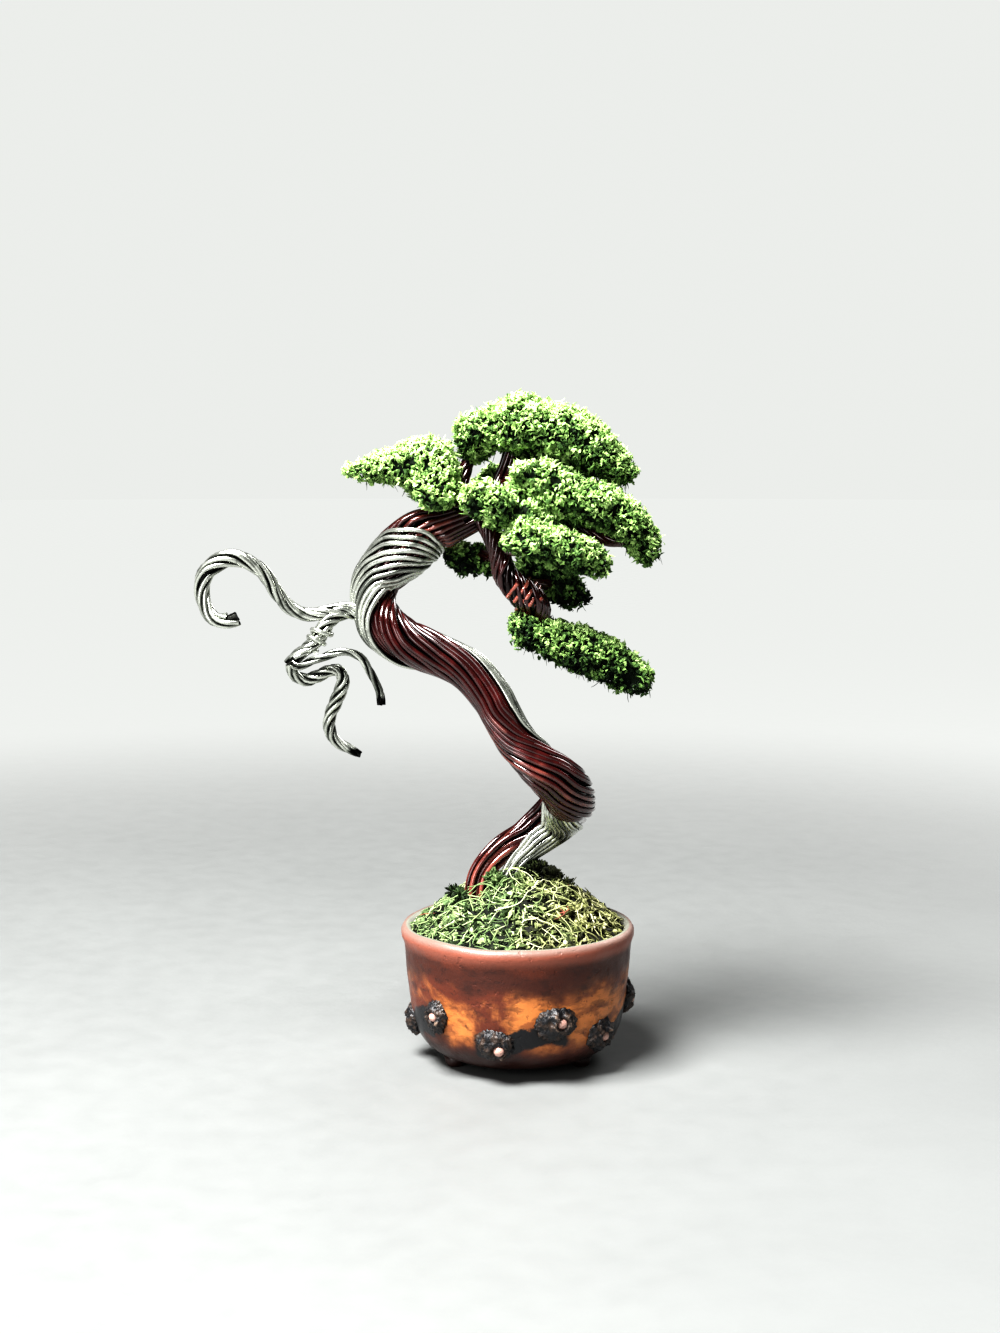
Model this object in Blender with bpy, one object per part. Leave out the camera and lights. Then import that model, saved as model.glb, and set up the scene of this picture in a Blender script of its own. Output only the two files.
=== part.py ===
"""Twisted-wire bonsai with clump foliage, in a small studded pot.

Metres, +Z up, front towards -Y. The pot stands on z = 0 and its axis is at POT_X, POT_Y,
so that the whole object's box is centred on x = y = 0.
"""

import math

import bmesh
import bpy
import numpy as np
from mathutils import Matrix, Vector, noise

MM = 0.001
CLEAR = 0.3  # mm between two pieces that would touch

# Pot, mm.
POT_X = 15.0
POT_Y = -0.16
RIM_Z = 23.1
RIM_RADIUS = 19.7
MOUTH_RADIUS = 17.8
FLOOR_Z = 1.2
FLOOR_THICKNESS = 2.2
POT_SIDES = 36
OUTER_PROFILE = (  # radius, height
    (10.8, FLOOR_Z),
    (13.7, 1.8),
    (15.8, 3.3),
    (17.2, 5.6),
    (18.0, 8.8),
    (18.4, 12.0),
    (18.8, 16.5),
    (19.1, 20.4),
    (RIM_RADIUS, 21.2),
    (19.6, 22.2),
    (18.8, RIM_Z),
)
INNER_PROFILE = (
    (MOUTH_RADIUS, 22.3),
    (17.7, 21.0),
    (16.4, 20.1),
    (16.0, 8.0),
    (14.8, 4.9),
    (12.0, FLOOR_Z + FLOOR_THICKNESS),
)
FEET = (-30.0, 90.0, 210.0)  # angles, degrees
FOOT_RADIUS = 1.5
FOOT_CIRCLE = 12.0
STUDS = (257.0, 289.0, 322.0, 0.0, 37.0, 74.0, 110.0, 147.0, 184.0, 223.0)  # angles, low and high by turns
STUD_HIGH_Z = 10.3
STUD_LOW_Z = 6.9
STUD_SIZE = 2.3
BEAD_SIZE = 1.05

# Mound, mm: the fill's peak and the moss over it.
PEAK_X = 0.3
PEAK_Y = 1.5
MOSS_EDGE_Z = 22.3
MOSS_PEAK_Z = 31.2
MOSS_SKIN = 2.2
MOSS_RADIUS = MOUTH_RADIUS - CLEAR
FILL_RADIUS = 16.0

# Trunk, mm: x, y, z, radius of the whole bundle. It starts between the two legs.
TRUNK = (
    (-4.5, 0.5, 22.3, 2.5),
    (-4.2, 1.0, 29.0, 3.0),
    (-2.0, 2.2, 33.0, 3.1),
    (1.1, 3.8, 35.5, 3.5),
    (4.0, 4.9, 37.7, 3.9),
    (6.3, 4.6, 39.7, 4.2),
    (8.1, 2.6, 41.8, 4.4),
    (8.7, -0.6, 44.0, 4.4),
    (7.9, -4.0, 46.4, 4.3),
    (5.8, -6.4, 48.8, 4.1),
    (3.2, -7.0, 51.2, 3.7),
    (-0.2, -6.3, 54.7, 3.4),
    (-2.5, -5.6, 58.6, 3.4),
    (-4.6, -5.0, 62.2, 3.4),
    (-8.4, -4.0, 66.2, 3.5),
    (-13.4, -3.0, 68.6, 3.6),
    (-18.5, -2.0, 70.4, 3.9),
    (-22.3, -1.0, 73.2, 4.1),
    (-24.0, 0.0, 76.9, 3.8),
    (-23.4, 0.5, 80.7, 4.1),
    (-21.4, 0.5, 83.2, 4.5),
    (-18.5, 0.5, 85.8, 4.8),
    (-15.6, 0.5, 88.1, 4.6),
    (-12.1, 0.8, 89.6, 3.6),
    (-7.1, 1.0, 91.7, 2.9),
    (-3.5, 1.5, 94.4, 2.5),
    (-1.8, 2.0, 98.0, 2.0),
    (-0.7, 2.0, 102.0, 1.6),
)
TRUNK_STEP = 2.7
LEG_TOP = 3.4  # the row of TRUNK where the two legs have become one bundle
BROWN_LEG = (-2.4, 1.8)  # sideways offset and radius of the brown leg
SILVER_LEG = (2.5, 1.15)
BROWN_RIDGES = 7
SILVER_RIDGES = 6
RIBBON = 1.3  # thickness of the silver ribbon

# Silver ribbon: row of TRUNK, angle from the side that faces the front, half width, degrees.
SILVER = (
    (0.0, 55.0, 66.0),
    (2.0, 48.0, 68.0),
    (5.0, 45.0, 68.0),
    (7.0, -56.0, 60.0),
    (9.0, 195.0, 60.0),
    (10.5, 152.0, 66.0),
    (11.5, 118.0, 72.0),
    (12.5, 116.0, 74.0),
    (14.0, 138.0, 74.0),
    (15.0, 165.0, 74.0),
    (16.0, 200.0, 76.0),
    (17.0, 245.0, 80.0),
    (18.0, 290.0, 84.0),
    (19.0, 325.0, 84.0),
    (20.0, 355.0, 80.0),
    (21.0, 385.0, 74.0),
    (22.0, 425.0, 58.0),
    (23.0, 462.0, 34.0),
    (24.0, 495.0, 16.0),
)
SILVER_END = 23.6

# Dead twigs of silver wire, mm: x, y, z, radius.
HOOK = (
    (-26.9, -1.0, 76.0, 1.2),
    (-29.4, -1.5, 75.9, 1.25),
    (-32.1, -2.0, 75.4, 1.2),
    (-34.9, -2.0, 75.2, 1.2),
    (-37.7, -2.2, 76.4, 1.2),
    (-39.5, -2.5, 78.6, 1.2),
    (-41.0, -2.8, 81.1, 1.2),
    (-43.1, -3.0, 83.2, 1.25),
    (-46.0, -3.0, 84.5, 1.5),
    (-48.8, -3.0, 84.0, 1.6),
    (-51.2, -3.0, 82.1, 1.5),
    (-51.9, -3.0, 79.3, 1.3),
    (-51.3, -3.5, 76.7, 1.25),
    (-50.0, -4.0, 74.7, 1.25),
    (-48.0, -4.2, 74.3, 1.3),
    (-46.0, -4.2, 74.9, 1.5),
)
FORK = (
    (-27.0, -1.0, 75.5, 1.3),
    (-29.1, -1.5, 75.5, 1.4),
    (-31.2, -2.0, 74.1, 1.4),
    (-32.6, -2.5, 71.8, 1.4),
    (-33.9, -3.0, 70.2, 1.2),
    (-36.1, -3.0, 68.6, 1.1),
    (-37.8, -3.0, 66.9, 1.1),
)
FORK_UPPER = (
    (-37.4, -3.0, 67.2, 0.8),
    (-36.2, -3.4, 66.7, 0.8),
    (-33.5, -4.0, 67.7, 0.75),
    (-30.7, -4.0, 68.7, 0.75),
    (-28.1, -4.0, 69.2, 0.75),
    (-26.0, -4.0, 68.3, 0.75),
    (-24.7, -4.0, 66.7, 0.75),
    (-23.7, -4.0, 64.5, 0.75),
    (-22.7, -4.0, 62.4, 0.75),
    (-22.6, -4.0, 60.4, 0.75),
)
FORK_LOWER = (
    (-37.6, -3.0, 67.0, 0.9),
    (-37.0, -2.6, 65.2, 1.0),
    (-35.2, -2.0, 64.3, 1.1),
    (-33.1, -2.0, 64.9, 1.1),
    (-30.8, -2.0, 66.0, 1.1),
    (-29.3, -2.0, 65.5, 1.1),
    (-29.0, -2.0, 63.6, 1.2),
    (-30.1, -2.0, 60.8, 1.2),
    (-31.2, -2.0, 58.3, 1.1),
    (-31.3, -2.0, 56.1, 1.1),
    (-30.5, -2.0, 54.3, 1.0),
    (-28.6, -2.0, 53.1, 0.9),
    (-26.1, -2.0, 51.9, 0.8),
)

# Brown branches, mm: x, y, z, radius. Each starts inside the trunk and ends inside a pad.
BRANCHES = {
    "to_left": (
        (-10.9, 1.0, 90.1, 2.0),
        (-12.9, 0.0, 92.7, 1.6),
        (-14.5, -1.0, 95.6, 1.3),
        (-16.1, -1.0, 98.2, 1.1),
    ),
    "to_crown": (
        (-9.3, 1.0, 90.6, 1.8),
        (-9.5, 2.0, 93.8, 1.5),
        (-9.3, 3.0, 97.1, 1.3),
        (-8.3, 3.8, 100.1, 1.1),
        (-7.4, 4.0, 102.0, 1.0),
    ),
    "to_right": (
        (-3.8, 1.5, 93.9, 1.8),
        (0.3, 0.0, 94.4, 1.6),
        (5.2, -2.0, 93.9, 1.3),
        (9.4, -3.0, 92.9, 1.1),
    ),
    "under_right": (
        (0.3, 0.0, 93.9, 1.3),
        (5.0, 0.5, 91.0, 1.2),
        (10.5, -1.0, 89.2, 1.1),
        (14.6, -2.6, 87.4, 1.0),
        (17.4, -3.2, 87.2, 0.9),
        (19.6, -3.2, 87.8, 0.8),
    ),
    "to_centre": (
        (-2.5, 1.8, 96.3, 1.4),
        (-0.8, -1.2, 97.4, 1.2),
        (1.6, -4.2, 98.8, 1.0),
    ),
    "to_front": (
        (-6.3, 1.0, 91.7, 1.6),
        (-5.3, -3.0, 91.7, 1.3),
        (-4.8, -6.5, 92.8, 1.1),
    ),
    "to_back": (
        (-5.0, 1.2, 92.5, 1.7),
        (-3.2, 5.5, 93.6, 1.3),
        (-1.2, 9.5, 95.4, 1.1),
    ),
    "drop": (
        (-6.6, 0.0, 91.9, 1.6),
        (-4.6, -1.5, 89.0, 1.8),
        (-3.2, -2.5, 85.5, 1.8),
        (-1.9, -3.0, 81.4, 2.1),
        (1.1, -3.0, 78.4, 2.3),
        (3.2, -2.6, 76.4, 1.9),
        (3.9, -2.0, 74.0, 1.4),
        (4.4, -2.0, 71.6, 1.1),
    ),
    "to_middle": (
        (-3.5, -2.0, 86.3, 1.4),
        (-0.6, -4.0, 86.0, 1.2),
        (2.8, -6.0, 86.0, 1.1),
    ),
    "to_low_left": (
        (-3.1, -2.4, 84.9, 1.2),
        (-4.4, 1.0, 84.7, 1.1),
        (-7.2, 4.0, 84.5, 1.0),
    ),
    "to_low_back": (
        (0.3, -2.5, 79.7, 1.3),
        (3.0, 0.0, 79.8, 1.1),
        (6.0, 2.5, 79.8, 0.9),
    ),
}

# Foliage: the branches that stand in each pad, then its lumps, mm: x, y, z, half sizes.
PADS = {
    "foliage_left": (
        ("to_left",),
        (-15.3, -1.0, 100.1, 5.6, 6.0, 3.9),
        (-21.3, -1.0, 99.3, 4.6, 4.5, 2.6),
        (-25.8, -1.0, 98.6, 2.8, 3.0, 1.6),
        (-13.6, -1.0, 96.6, 4.0, 4.8, 3.2),
        (-13.2, -5.4, 94.9, 4.0, 2.7, 3.1),
    ),
    "foliage_crown": (
        ("to_crown", "trunk"),
        (-6.6, 1.5, 105.5, 4.4, 5.0, 2.6),
        (0.3, 0.0, 106.3, 5.6, 7.0, 4.6),
        (7.0, 0.0, 105.1, 5.4, 7.0, 4.2),
        (12.4, -1.0, 102.2, 3.9, 6.0, 4.0),
        (16.2, -1.0, 98.9, 2.7, 4.5, 2.4),
        (18.8, -1.0, 97.5, 1.6, 2.5, 1.2),
        (-7.4, 4.0, 102.6, 2.6, 4.0, 2.9),
        (5.6, 3.4, 101.4, 4.4, 4.0, 2.5),
        (9.6, 3.2, 100.2, 3.6, 4.0, 2.3),
    ),
    "foliage_right": (
        ("to_right", "under_right", "to_centre", "trunk"),
        (0.9, -4.9, 98.7, 3.1, 3.0, 2.1),
        (5.0, -4.6, 98.4, 3.7, 3.4, 2.4),
        (7.8, -4.4, 94.6, 4.3, 5.4, 3.3),
        (13.0, -4.0, 93.3, 4.5, 6.1, 3.6),
        (17.8, -3.3, 90.4, 3.5, 5.5, 3.3),
        (21.1, -3.0, 86.3, 2.4, 4.0, 3.1),
        (3.2, -2.2, 93.0, 3.4, 3.2, 3.2),
        (5.8, 0.4, 90.7, 3.8, 3.4, 2.9),
    ),
    "foliage_front": (
        ("to_front",),
        (-6.2, -7.5, 94.1, 3.3, 3.3, 3.3),
        (-2.5, -7.7, 93.5, 2.7, 3.2, 2.9),
    ),
    "foliage_middle": (
        ("to_middle",),
        (-0.4, -8.4, 87.7, 3.2, 3.6, 2.0),
        (4.3, -8.0, 87.2, 4.2, 4.8, 3.0),
        (9.3, -7.7, 85.4, 4.0, 4.7, 3.1),
        (12.9, -7.4, 83.8, 2.2, 3.4, 2.2),
    ),
    "foliage_low_left": (
        ("to_low_left",),
        (-9.8, 4.4, 84.3, 3.0, 3.6, 2.6),
        (-6.3, 4.2, 83.8, 3.2, 3.6, 2.8),
    ),
    "foliage_low_back": (
        ("to_low_back",),
        (2.8, 4.5, 82.6, 3.8, 3.5, 2.8),
        (6.7, 4.0, 80.1, 3.7, 4.5, 3.2),
        (9.9, 3.2, 77.4, 2.3, 3.2, 2.3),
    ),
    "foliage_cascade": (
        ("drop",),
        (0.8, -2.0, 73.0, 2.9, 4.5, 2.8),
        (6.1, -2.0, 71.0, 3.6, 5.5, 3.3),
        (11.0, -2.0, 69.1, 3.9, 6.0, 3.8),
        (15.7, -2.0, 66.9, 3.3, 5.5, 3.6),
        (19.6, -2.0, 64.3, 2.5, 4.0, 3.0),
    ),
    "foliage_back": (
        ("to_back",),
        (-3.0, 10.5, 96.6, 4.6, 3.8, 2.9),
        (3.0, 10.5, 96.0, 5.0, 4.0, 3.2),
        (9.0, 9.5, 93.6, 4.0, 3.6, 2.6),
    ),
}
TUFT_GRID = 2.35  # spacing of the tufts on a pad
TUFT_HEIGHT = 0.75


def material(name, colour, roughness, metallic=0.0):
    """A plain Principled material."""
    made = bpy.data.materials.new(name)
    made.use_nodes = True
    shader = made.node_tree.nodes["Principled BSDF"]
    shader.inputs["Base Color"].default_value = (*colour, 1.0)
    shader.inputs["Roughness"].default_value = roughness
    shader.inputs["Metallic"].default_value = metallic
    made.diffuse_color = (*colour, 1.0)
    return made


def object_from(bm, name, surface=None):
    """The mesh, made in mm about the pot's axis, as an object in metres that stands there."""
    bmesh.ops.scale(bm, verts=bm.verts, vec=(MM, MM, MM))
    bmesh.ops.recalc_face_normals(bm, faces=bm.faces)
    mesh = bpy.data.meshes.new(name)
    bm.to_mesh(mesh)
    bm.free()
    made = bpy.data.objects.new(name, mesh)
    made.location = (POT_X * MM, POT_Y * MM, 0.0)
    bpy.context.scene.collection.objects.link(made)
    if surface:
        mesh.materials.append(surface)
    return made


def apply_modifiers(made):
    """Bakes the object's modifiers into its mesh."""
    graph = bpy.context.evaluated_depsgraph_get()
    mesh = bpy.data.meshes.new_from_object(made.evaluated_get(graph))
    made.modifiers.clear()
    made.data = mesh


def boolean(made, others, operation):
    """One exact Boolean of the object with all the others, which are then removed."""
    group = bpy.data.collections.new("helpers")
    bpy.context.scene.collection.children.link(group)
    for other in others:
        bpy.context.scene.collection.objects.unlink(other)
        group.objects.link(other)
        other.hide_render = True
        other.display_type = "WIRE"
    modifier = made.modifiers.new(operation.title(), "BOOLEAN")
    modifier.operation = operation
    modifier.solver = "EXACT"
    modifier.operand_type = "COLLECTION"
    modifier.collection = group
    apply_modifiers(made)
    for other in others:
        bpy.data.objects.remove(other)
    bpy.data.collections.remove(group)


def smooth(rows, step):
    """Rows of numbers about a step apart on a curve through the given rows, and each one's
    place among them."""
    rows = np.array(rows, float)
    padded = np.vstack((2 * rows[0] - rows[1], rows, 2 * rows[-1] - rows[-2]))
    fine = []
    for i in range(len(rows) - 1):
        a, b, c, d = padded[i : i + 4]
        for t in np.arange(20) / 20:
            fine.append(0.5 * (2 * b + (c - a) * t + (2 * a - 5 * b + 4 * c - d) * t**2
                               + (3 * b - a - 3 * c + d) * t**3))
    fine.append(rows[-1])
    fine = np.array(fine)
    places = np.arange(len(fine)) / 20
    run = np.concatenate(([0.0], np.cumsum(np.linalg.norm(np.diff(fine[:, :3], axis=0), axis=1))))
    wanted = np.linspace(0.0, run[-1], max(2, round(run[-1] / step)) + 1)
    even = np.column_stack([np.interp(wanted, run, column) for column in fine.T])
    return even, np.interp(wanted, run, places)


def carried_frames(centres):
    """Tangent and two crossing directions at each centre, carried along without twist."""
    tangents = np.gradient(centres, axis=0)
    tangents /= np.linalg.norm(tangents, axis=1)[:, None]
    first = np.cross(tangents[0], (0.0, 1.0, 0.3))
    frames = []
    for tangent in tangents:
        first = first - tangent * first.dot(tangent)
        first /= np.linalg.norm(first)
        frames.append((tangent, first, np.cross(tangent, first)))
    return frames


def front_angle(frame):
    """The angle in a carried frame of the direction that faces the front."""
    tangent, first, second = frame
    front = np.array((0.0, -1.0, 0.0))
    front = front - tangent * front.dot(tangent)
    return math.atan2(front.dot(second), front.dot(first))


def skin(rings):
    """A closed mesh over rings of equal count, with flat ends."""
    bm = bmesh.new()
    loops = [[bm.verts.new(point) for point in ring] for ring in rings]
    count = len(loops[0])
    for low, high in zip(loops, loops[1:]):
        for i in range(count):
            j = (i + 1) % count
            bm.faces.new((low[i], low[j], high[j], high[i]))
    bm.faces.new(loops[0][::-1])
    bm.faces.new(loops[-1])
    return bm


def placed(centre, frame, polygon):
    """A polygon of (first, second) offsets set across a curve."""
    _, first, second = frame
    return [tuple(centre + first * a + second * b) for a, b in polygon]


def twisted_bundle(name, rows, surface=None, ridges=3, step=2.0, pitch=9.0, grow=0.0):
    """Wires twisted round each other, drawn as one ridged rope."""
    even, _ = smooth(rows, step)
    centres = even[:, :3]
    frames = carried_frames(centres)
    run = np.concatenate(([0.0], np.cumsum(np.linalg.norm(np.diff(centres, axis=0), axis=1))))
    rings = []
    for centre, frame, radius, length in zip(centres, frames, even[:, 3], run):
        polygon = []
        for i in range(2 * ridges):
            angle = math.pi * i / ridges + 2 * math.pi * length / pitch
            reach = (radius + grow) * (1.0 if i % 2 == 0 or grow else 0.74)
            polygon.append((reach * math.cos(angle), reach * math.sin(angle)))
        rings.append(placed(centre, frame, polygon))
    return object_from(skin(rings), name, surface)


def silver_course(places, frames):
    """Angle of the silver ribbon's middle in the carried frame, and its half width, per ring."""
    keys = np.array(SILVER)
    angles = []
    for place, angle, _ in keys:
        frame = frames[int(np.argmin(np.abs(places - place)))]
        wanted = math.radians(angle) + front_angle(frame)
        if angles:
            wanted -= 2 * math.pi * round((wanted - angles[-1]) / (2 * math.pi))
        angles.append(wanted)
    return np.interp(places, keys[:, 0], angles), np.radians(np.interp(places, keys[:, 0], keys[:, 2]))


def ridged_arc(radius, start, end, ridges):
    """Points on a scalloped arc, a crest for each wire."""
    points = []
    for i in range(2 * ridges + 1):
        angle = start + (end - start) * i / (2 * ridges)
        reach = radius if i % 2 else radius * 0.9
        points.append((reach * math.cos(angle), reach * math.sin(angle)))
    return points


def plain_arc(radius, start, end, count):
    """Points on a round arc."""
    angles = np.linspace(start, end, count)
    return [(radius * math.cos(angle), radius * math.sin(angle)) for angle in angles]


def brown_section(radius, middle, half, notch):
    """The bundle without the silver ribbon's place."""
    edge = half + 1.4 * CLEAR / radius
    outer = ridged_arc(radius, middle + edge, middle + 2 * math.pi - edge, BROWN_RIDGES)
    return outer + plain_arc(radius * 0.9 - notch, middle - edge * 0.97, middle + edge * 0.97, 5)


def silver_section(radius, middle, half):
    """The ribbon, lying on the bundle."""
    outer = ridged_arc(radius, middle - half, middle + half, SILVER_RIDGES)
    return outer + plain_arc(radius * 0.9 - RIBBON + CLEAR, middle + half * 0.94, middle - half * 0.94, 5)


def leg_section(section, middle, offset, radius, side, blend):
    """A section turning into a round leg that stands to one side; middle is its outer side's."""
    outer = np.linspace(-2.2, 2.2, len(section) - 5) + middle
    inner = np.linspace(2.6, 2 * math.pi - 2.6, 5) + middle
    angles = np.concatenate((outer, inner))
    round_leg = np.column_stack((np.cos(angles), np.sin(angles))) * radius + side * offset
    apart = side * offset * 2.2 * blend**2 * (1 - blend)
    return [tuple(point) for point in round_leg * (1 - blend) + np.array(section) * blend + apart]


def trunk():
    """The brown bundle and the silver ribbon wound round it, as two objects."""
    even, places = smooth(TRUNK, TRUNK_STEP)
    centres = even[:, :3]
    frames = carried_frames(centres)
    middles, halves = silver_course(places, frames)
    brown, silver = [], []
    for centre, frame, radius, place, middle, half in zip(
        centres, frames, even[:, 3], places, middles, halves
    ):
        fade = min(max((SILVER_END + 0.6 - place) / 1.0, 0.0), 1.0)
        brown_polygon = brown_section(radius, middle, half, (RIBBON + 0.02) * fade)
        silver_polygon = silver_section(radius, middle, half)
        if place < LEG_TOP:
            angle = front_angle(frame) + math.pi / 2
            side = np.array((math.cos(angle), math.sin(angle)))
            blend = max(0.0, (place - 1.75) / (LEG_TOP - 1.75)) ** 1.2
            brown_polygon = leg_section(brown_polygon, middle + math.pi, *BROWN_LEG, side, blend)
            silver_polygon = leg_section(silver_polygon, middle, *SILVER_LEG, side, blend)
        brown.append(placed(centre, frame, brown_polygon))
        if place <= SILVER_END:
            silver.append(placed(centre, frame, silver_polygon))
    legs = [leg_rows(centres, frames, places, *leg) for leg in (BROWN_LEG, SILVER_LEG)]
    brown_wire = material("brown_wire", (0.16, 0.035, 0.03), 0.35, 0.8)
    silver_wire = material("silver_wire", (0.55, 0.57, 0.54), 0.4, 1.0)
    return object_from(skin(brown), "wire_trunk_brown", brown_wire), object_from(
        skin(silver), "wire_ribbon_silver", silver_wire), legs


def leg_rows(centres, frames, places, offset, radius):
    """Rows of a plain tube that clears one leg, from just under its end to above the moss."""
    rows = []
    for centre, frame, place in zip(centres, frames, places):
        if place > 2.0:
            break
        _, first, second = frame
        angle = front_angle(frame) + math.pi / 2
        flare = 0.9 * max(0.0, place - 1.1)
        side = first * math.cos(angle) + second * math.sin(angle)
        rows.append((*(centre + side * offset), radius + flare))
    down = np.array(rows[0]) - np.array(rows[1])
    rows.insert(0, tuple(np.array(rows[0]) + down * (CLEAR / np.linalg.norm(down[:3]))))
    up = np.array(rows[-1]) - np.array(rows[-2])
    rows.append(tuple(np.array(rows[-1]) + up))
    return rows


def turned(rows, sides):
    """A closed mesh of rings about the pot's axis, from rows of a radius and a height. A height
    may be a function of x and y."""
    rings = []
    for radius, height in rows:
        ring = []
        for i in range(sides):
            angle = 2 * math.pi * i / sides
            x, y = radius * math.cos(angle), radius * math.sin(angle)
            ring.append((x, y, height(x, y) if callable(height) else height))
        rings.append(ring)
    return skin(rings)


def lump(name, centre, size, detail, roughness, seed):
    """A rough ball, for a stud or a bead."""
    bm = bmesh.new()
    bmesh.ops.create_icosphere(bm, subdivisions=detail, radius=1.0)
    for vert in bm.verts:
        push = 1.0 + roughness * noise.noise(vert.co * 1.7 + Vector((seed * 3.1, seed * 1.7, 0.0)))
        vert.co = Vector(centre) + Vector([c * s * push for c, s in zip(vert.co, size)])
    return object_from(bm, name)


def pot():
    """The pot with its lip, feet and the zigzag band of studs and beads."""
    glaze = material("pot_glaze", (0.30, 0.13, 0.06), 0.35)
    made = object_from(turned(OUTER_PROFILE + INNER_PROFILE, POT_SIDES), "pot", glaze)
    extras = []
    for degrees in FEET:
        angle = math.radians(degrees)
        bm = bmesh.new()
        bmesh.ops.create_cone(bm, cap_ends=True, segments=8, radius1=FOOT_RADIUS, radius2=FOOT_RADIUS * 1.3,
                              depth=FLOOR_Z + 0.8)
        spot = (FOOT_CIRCLE * math.cos(angle), FOOT_CIRCLE * math.sin(angle), (FLOOR_Z + 0.8) / 2)
        bmesh.ops.translate(bm, verts=bm.verts, vec=spot)
        extras.append(object_from(bm, "foot"))
    for i, degrees in enumerate(STUDS):
        angle = math.radians(degrees)
        high = i % 2 == 1
        z = STUD_HIGH_Z if high else STUD_LOW_Z
        radius = 18.0 if high else 17.2
        size = STUD_SIZE * (1.0 if high else 0.85)
        spot = (radius * math.cos(angle), radius * math.sin(angle), z)
        extras.append(lump("stud", spot, (size, size, size * 0.85), 2, 0.5, i))
        bead_angle = angle + (0.085 if i % 4 < 2 else -0.07)
        bead = ((radius + 1.5) * math.cos(bead_angle), (radius + 1.5) * math.sin(bead_angle), z - 0.5)
        extras.append(lump("bead", bead, (BEAD_SIZE,) * 3, 1, 0.0, i))
    boolean(made, extras, "UNION")


def mound_height(x, y):
    """Height of the mound over a point, falling from the peak to the edge of the pot's mouth."""
    peak = Vector((PEAK_X, PEAK_Y))
    away = Vector((x, y)) - peak
    if away.length < 1e-6:
        return MOSS_PEAK_Z
    along = peak.dot(away.normalized())
    reach = -along + math.sqrt(along**2 - peak.length_squared + MOSS_RADIUS**2)
    return MOSS_EDGE_Z + (MOSS_PEAK_Z - MOSS_EDGE_Z) * max(0.0, 1.0 - (away.length / reach) ** 1.6)


def leg_holes(legs):
    """Plain round cutters that clear the two legs."""
    return [twisted_bundle("leg_hole", rows, ridges=7, step=3.0, pitch=1e6, grow=CLEAR + 0.1) for rows in legs]


def fill(legs):
    """The potting that grips the wires: a plug in the pot under a low dome."""
    def dome(x, y):
        return mound_height(x, y) - MOSS_SKIN - CLEAR

    rows = [(11.5, FLOOR_Z + FLOOR_THICKNESS + CLEAR), (14.5, 5.6), (15.6, 8.5), (FILL_RADIUS, 18.0)]
    rows += [(radius, dome) for radius in (FILL_RADIUS, 12.0, 8.0, 3.0)]
    surface = material("potting", (0.05, 0.045, 0.04), 0.9)
    made = object_from(turned(rows, 20), "potting_fill", surface)
    boolean(made, leg_holes(legs), "DIFFERENCE")


def moss(legs):
    """The lumpy cover of the mound, a skin over the fill, open round the two legs."""
    def under(x, y):
        return mound_height(x, y) - MOSS_SKIN

    def top(x, y):
        bumps = noise.noise(Vector((x, y, 0.0)) * 0.42) + 0.6 * noise.noise(Vector((x, y, 5.0)) * 0.9)
        return mound_height(x, y) + 0.9 * bumps * min(1.0, (MOSS_RADIUS + 1.0 - math.hypot(x, y)) / 3.0)

    rows = [(radius, under) for radius in (3.0, 8.0, 12.5, 16.2)]
    rows.append((MOSS_RADIUS - 0.2, MOSS_EDGE_Z - 0.9))
    rows += [(radius, top) for radius in (MOSS_RADIUS, 15.4, 13.2, 11.0, 8.8, 6.6, 4.4, 2.2)]
    made = object_from(turned(rows, 32), "moss_cover", material("moss", (0.22, 0.32, 0.06), 0.95))
    boolean(made, leg_holes(legs), "DIFFERENCE")


def foliage(name, branches, lumps, surface):
    """A pad of flock: overlapping lumps made one body, its faces raised into tufts, with plain
    holes where branches stand."""
    bm = bmesh.new()
    for x, y, z, a, b, c in lumps:
        bmesh.ops.create_icosphere(bm, subdivisions=3, radius=1.0,
                                   matrix=Matrix.Translation((x, y, z)) @ Matrix.Diagonal((a, b, c, 1.0)))
    made = object_from(bm, name, surface)
    remesh = made.modifiers.new("Remesh", "REMESH")
    remesh.mode = "VOXEL"
    remesh.voxel_size = TUFT_GRID * MM
    apply_modifiers(made)
    bm = bmesh.new()
    bm.from_mesh(made.data)
    tips = bmesh.ops.poke(bm, faces=bm.faces[:], offset=0.0)["verts"]
    bm.normal_update()
    raised = []
    for tip in tips:
        height = TUFT_HEIGHT * (1.0 + 0.7 * noise.noise(tip.co * 600.0))
        raised.append((tip, tip.normal * height * MM))
    for tip, lift in raised:
        tip.co += lift
    bm.to_mesh(made.data)
    bm.free()
    cutters = [twisted_bundle("branch_hole", rows, ridges=6, step=1.7, pitch=1e6, grow=CLEAR + 0.1)
               for rows in branches]
    boolean(made, cutters, "DIFFERENCE")


def lengthened(rows, by):
    """The rows with the last one moved on along the curve."""
    last, before = np.array(rows[-1]), np.array(rows[-2])
    step = last[:3] - before[:3]
    end = last.copy()
    end[:3] += step / np.linalg.norm(step) * by
    return list(rows[:-1]) + [tuple(end)]


def main():
    for old in list(bpy.data.objects):
        bpy.data.objects.remove(old)
    pot()
    brown, silver, legs = trunk()
    fill(legs)
    moss(legs)
    boolean(brown, [twisted_bundle(name, rows) for name, rows in BRANCHES.items()], "UNION")
    twigs = (HOOK, FORK, FORK_UPPER, FORK_LOWER)
    boolean(silver, [twisted_bundle("twig", rows, step=1.5, pitch=8.0) for rows in twigs], "UNION")
    leaf = material("foliage", (0.24, 0.38, 0.10), 0.9)
    for name, (branches, *lumps) in PADS.items():
        rows = [lengthened(TRUNK[-5:] if branch == "trunk" else BRANCHES[branch], CLEAR) for branch in branches]
        foliage(name, rows, lumps, leaf)


main()
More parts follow.
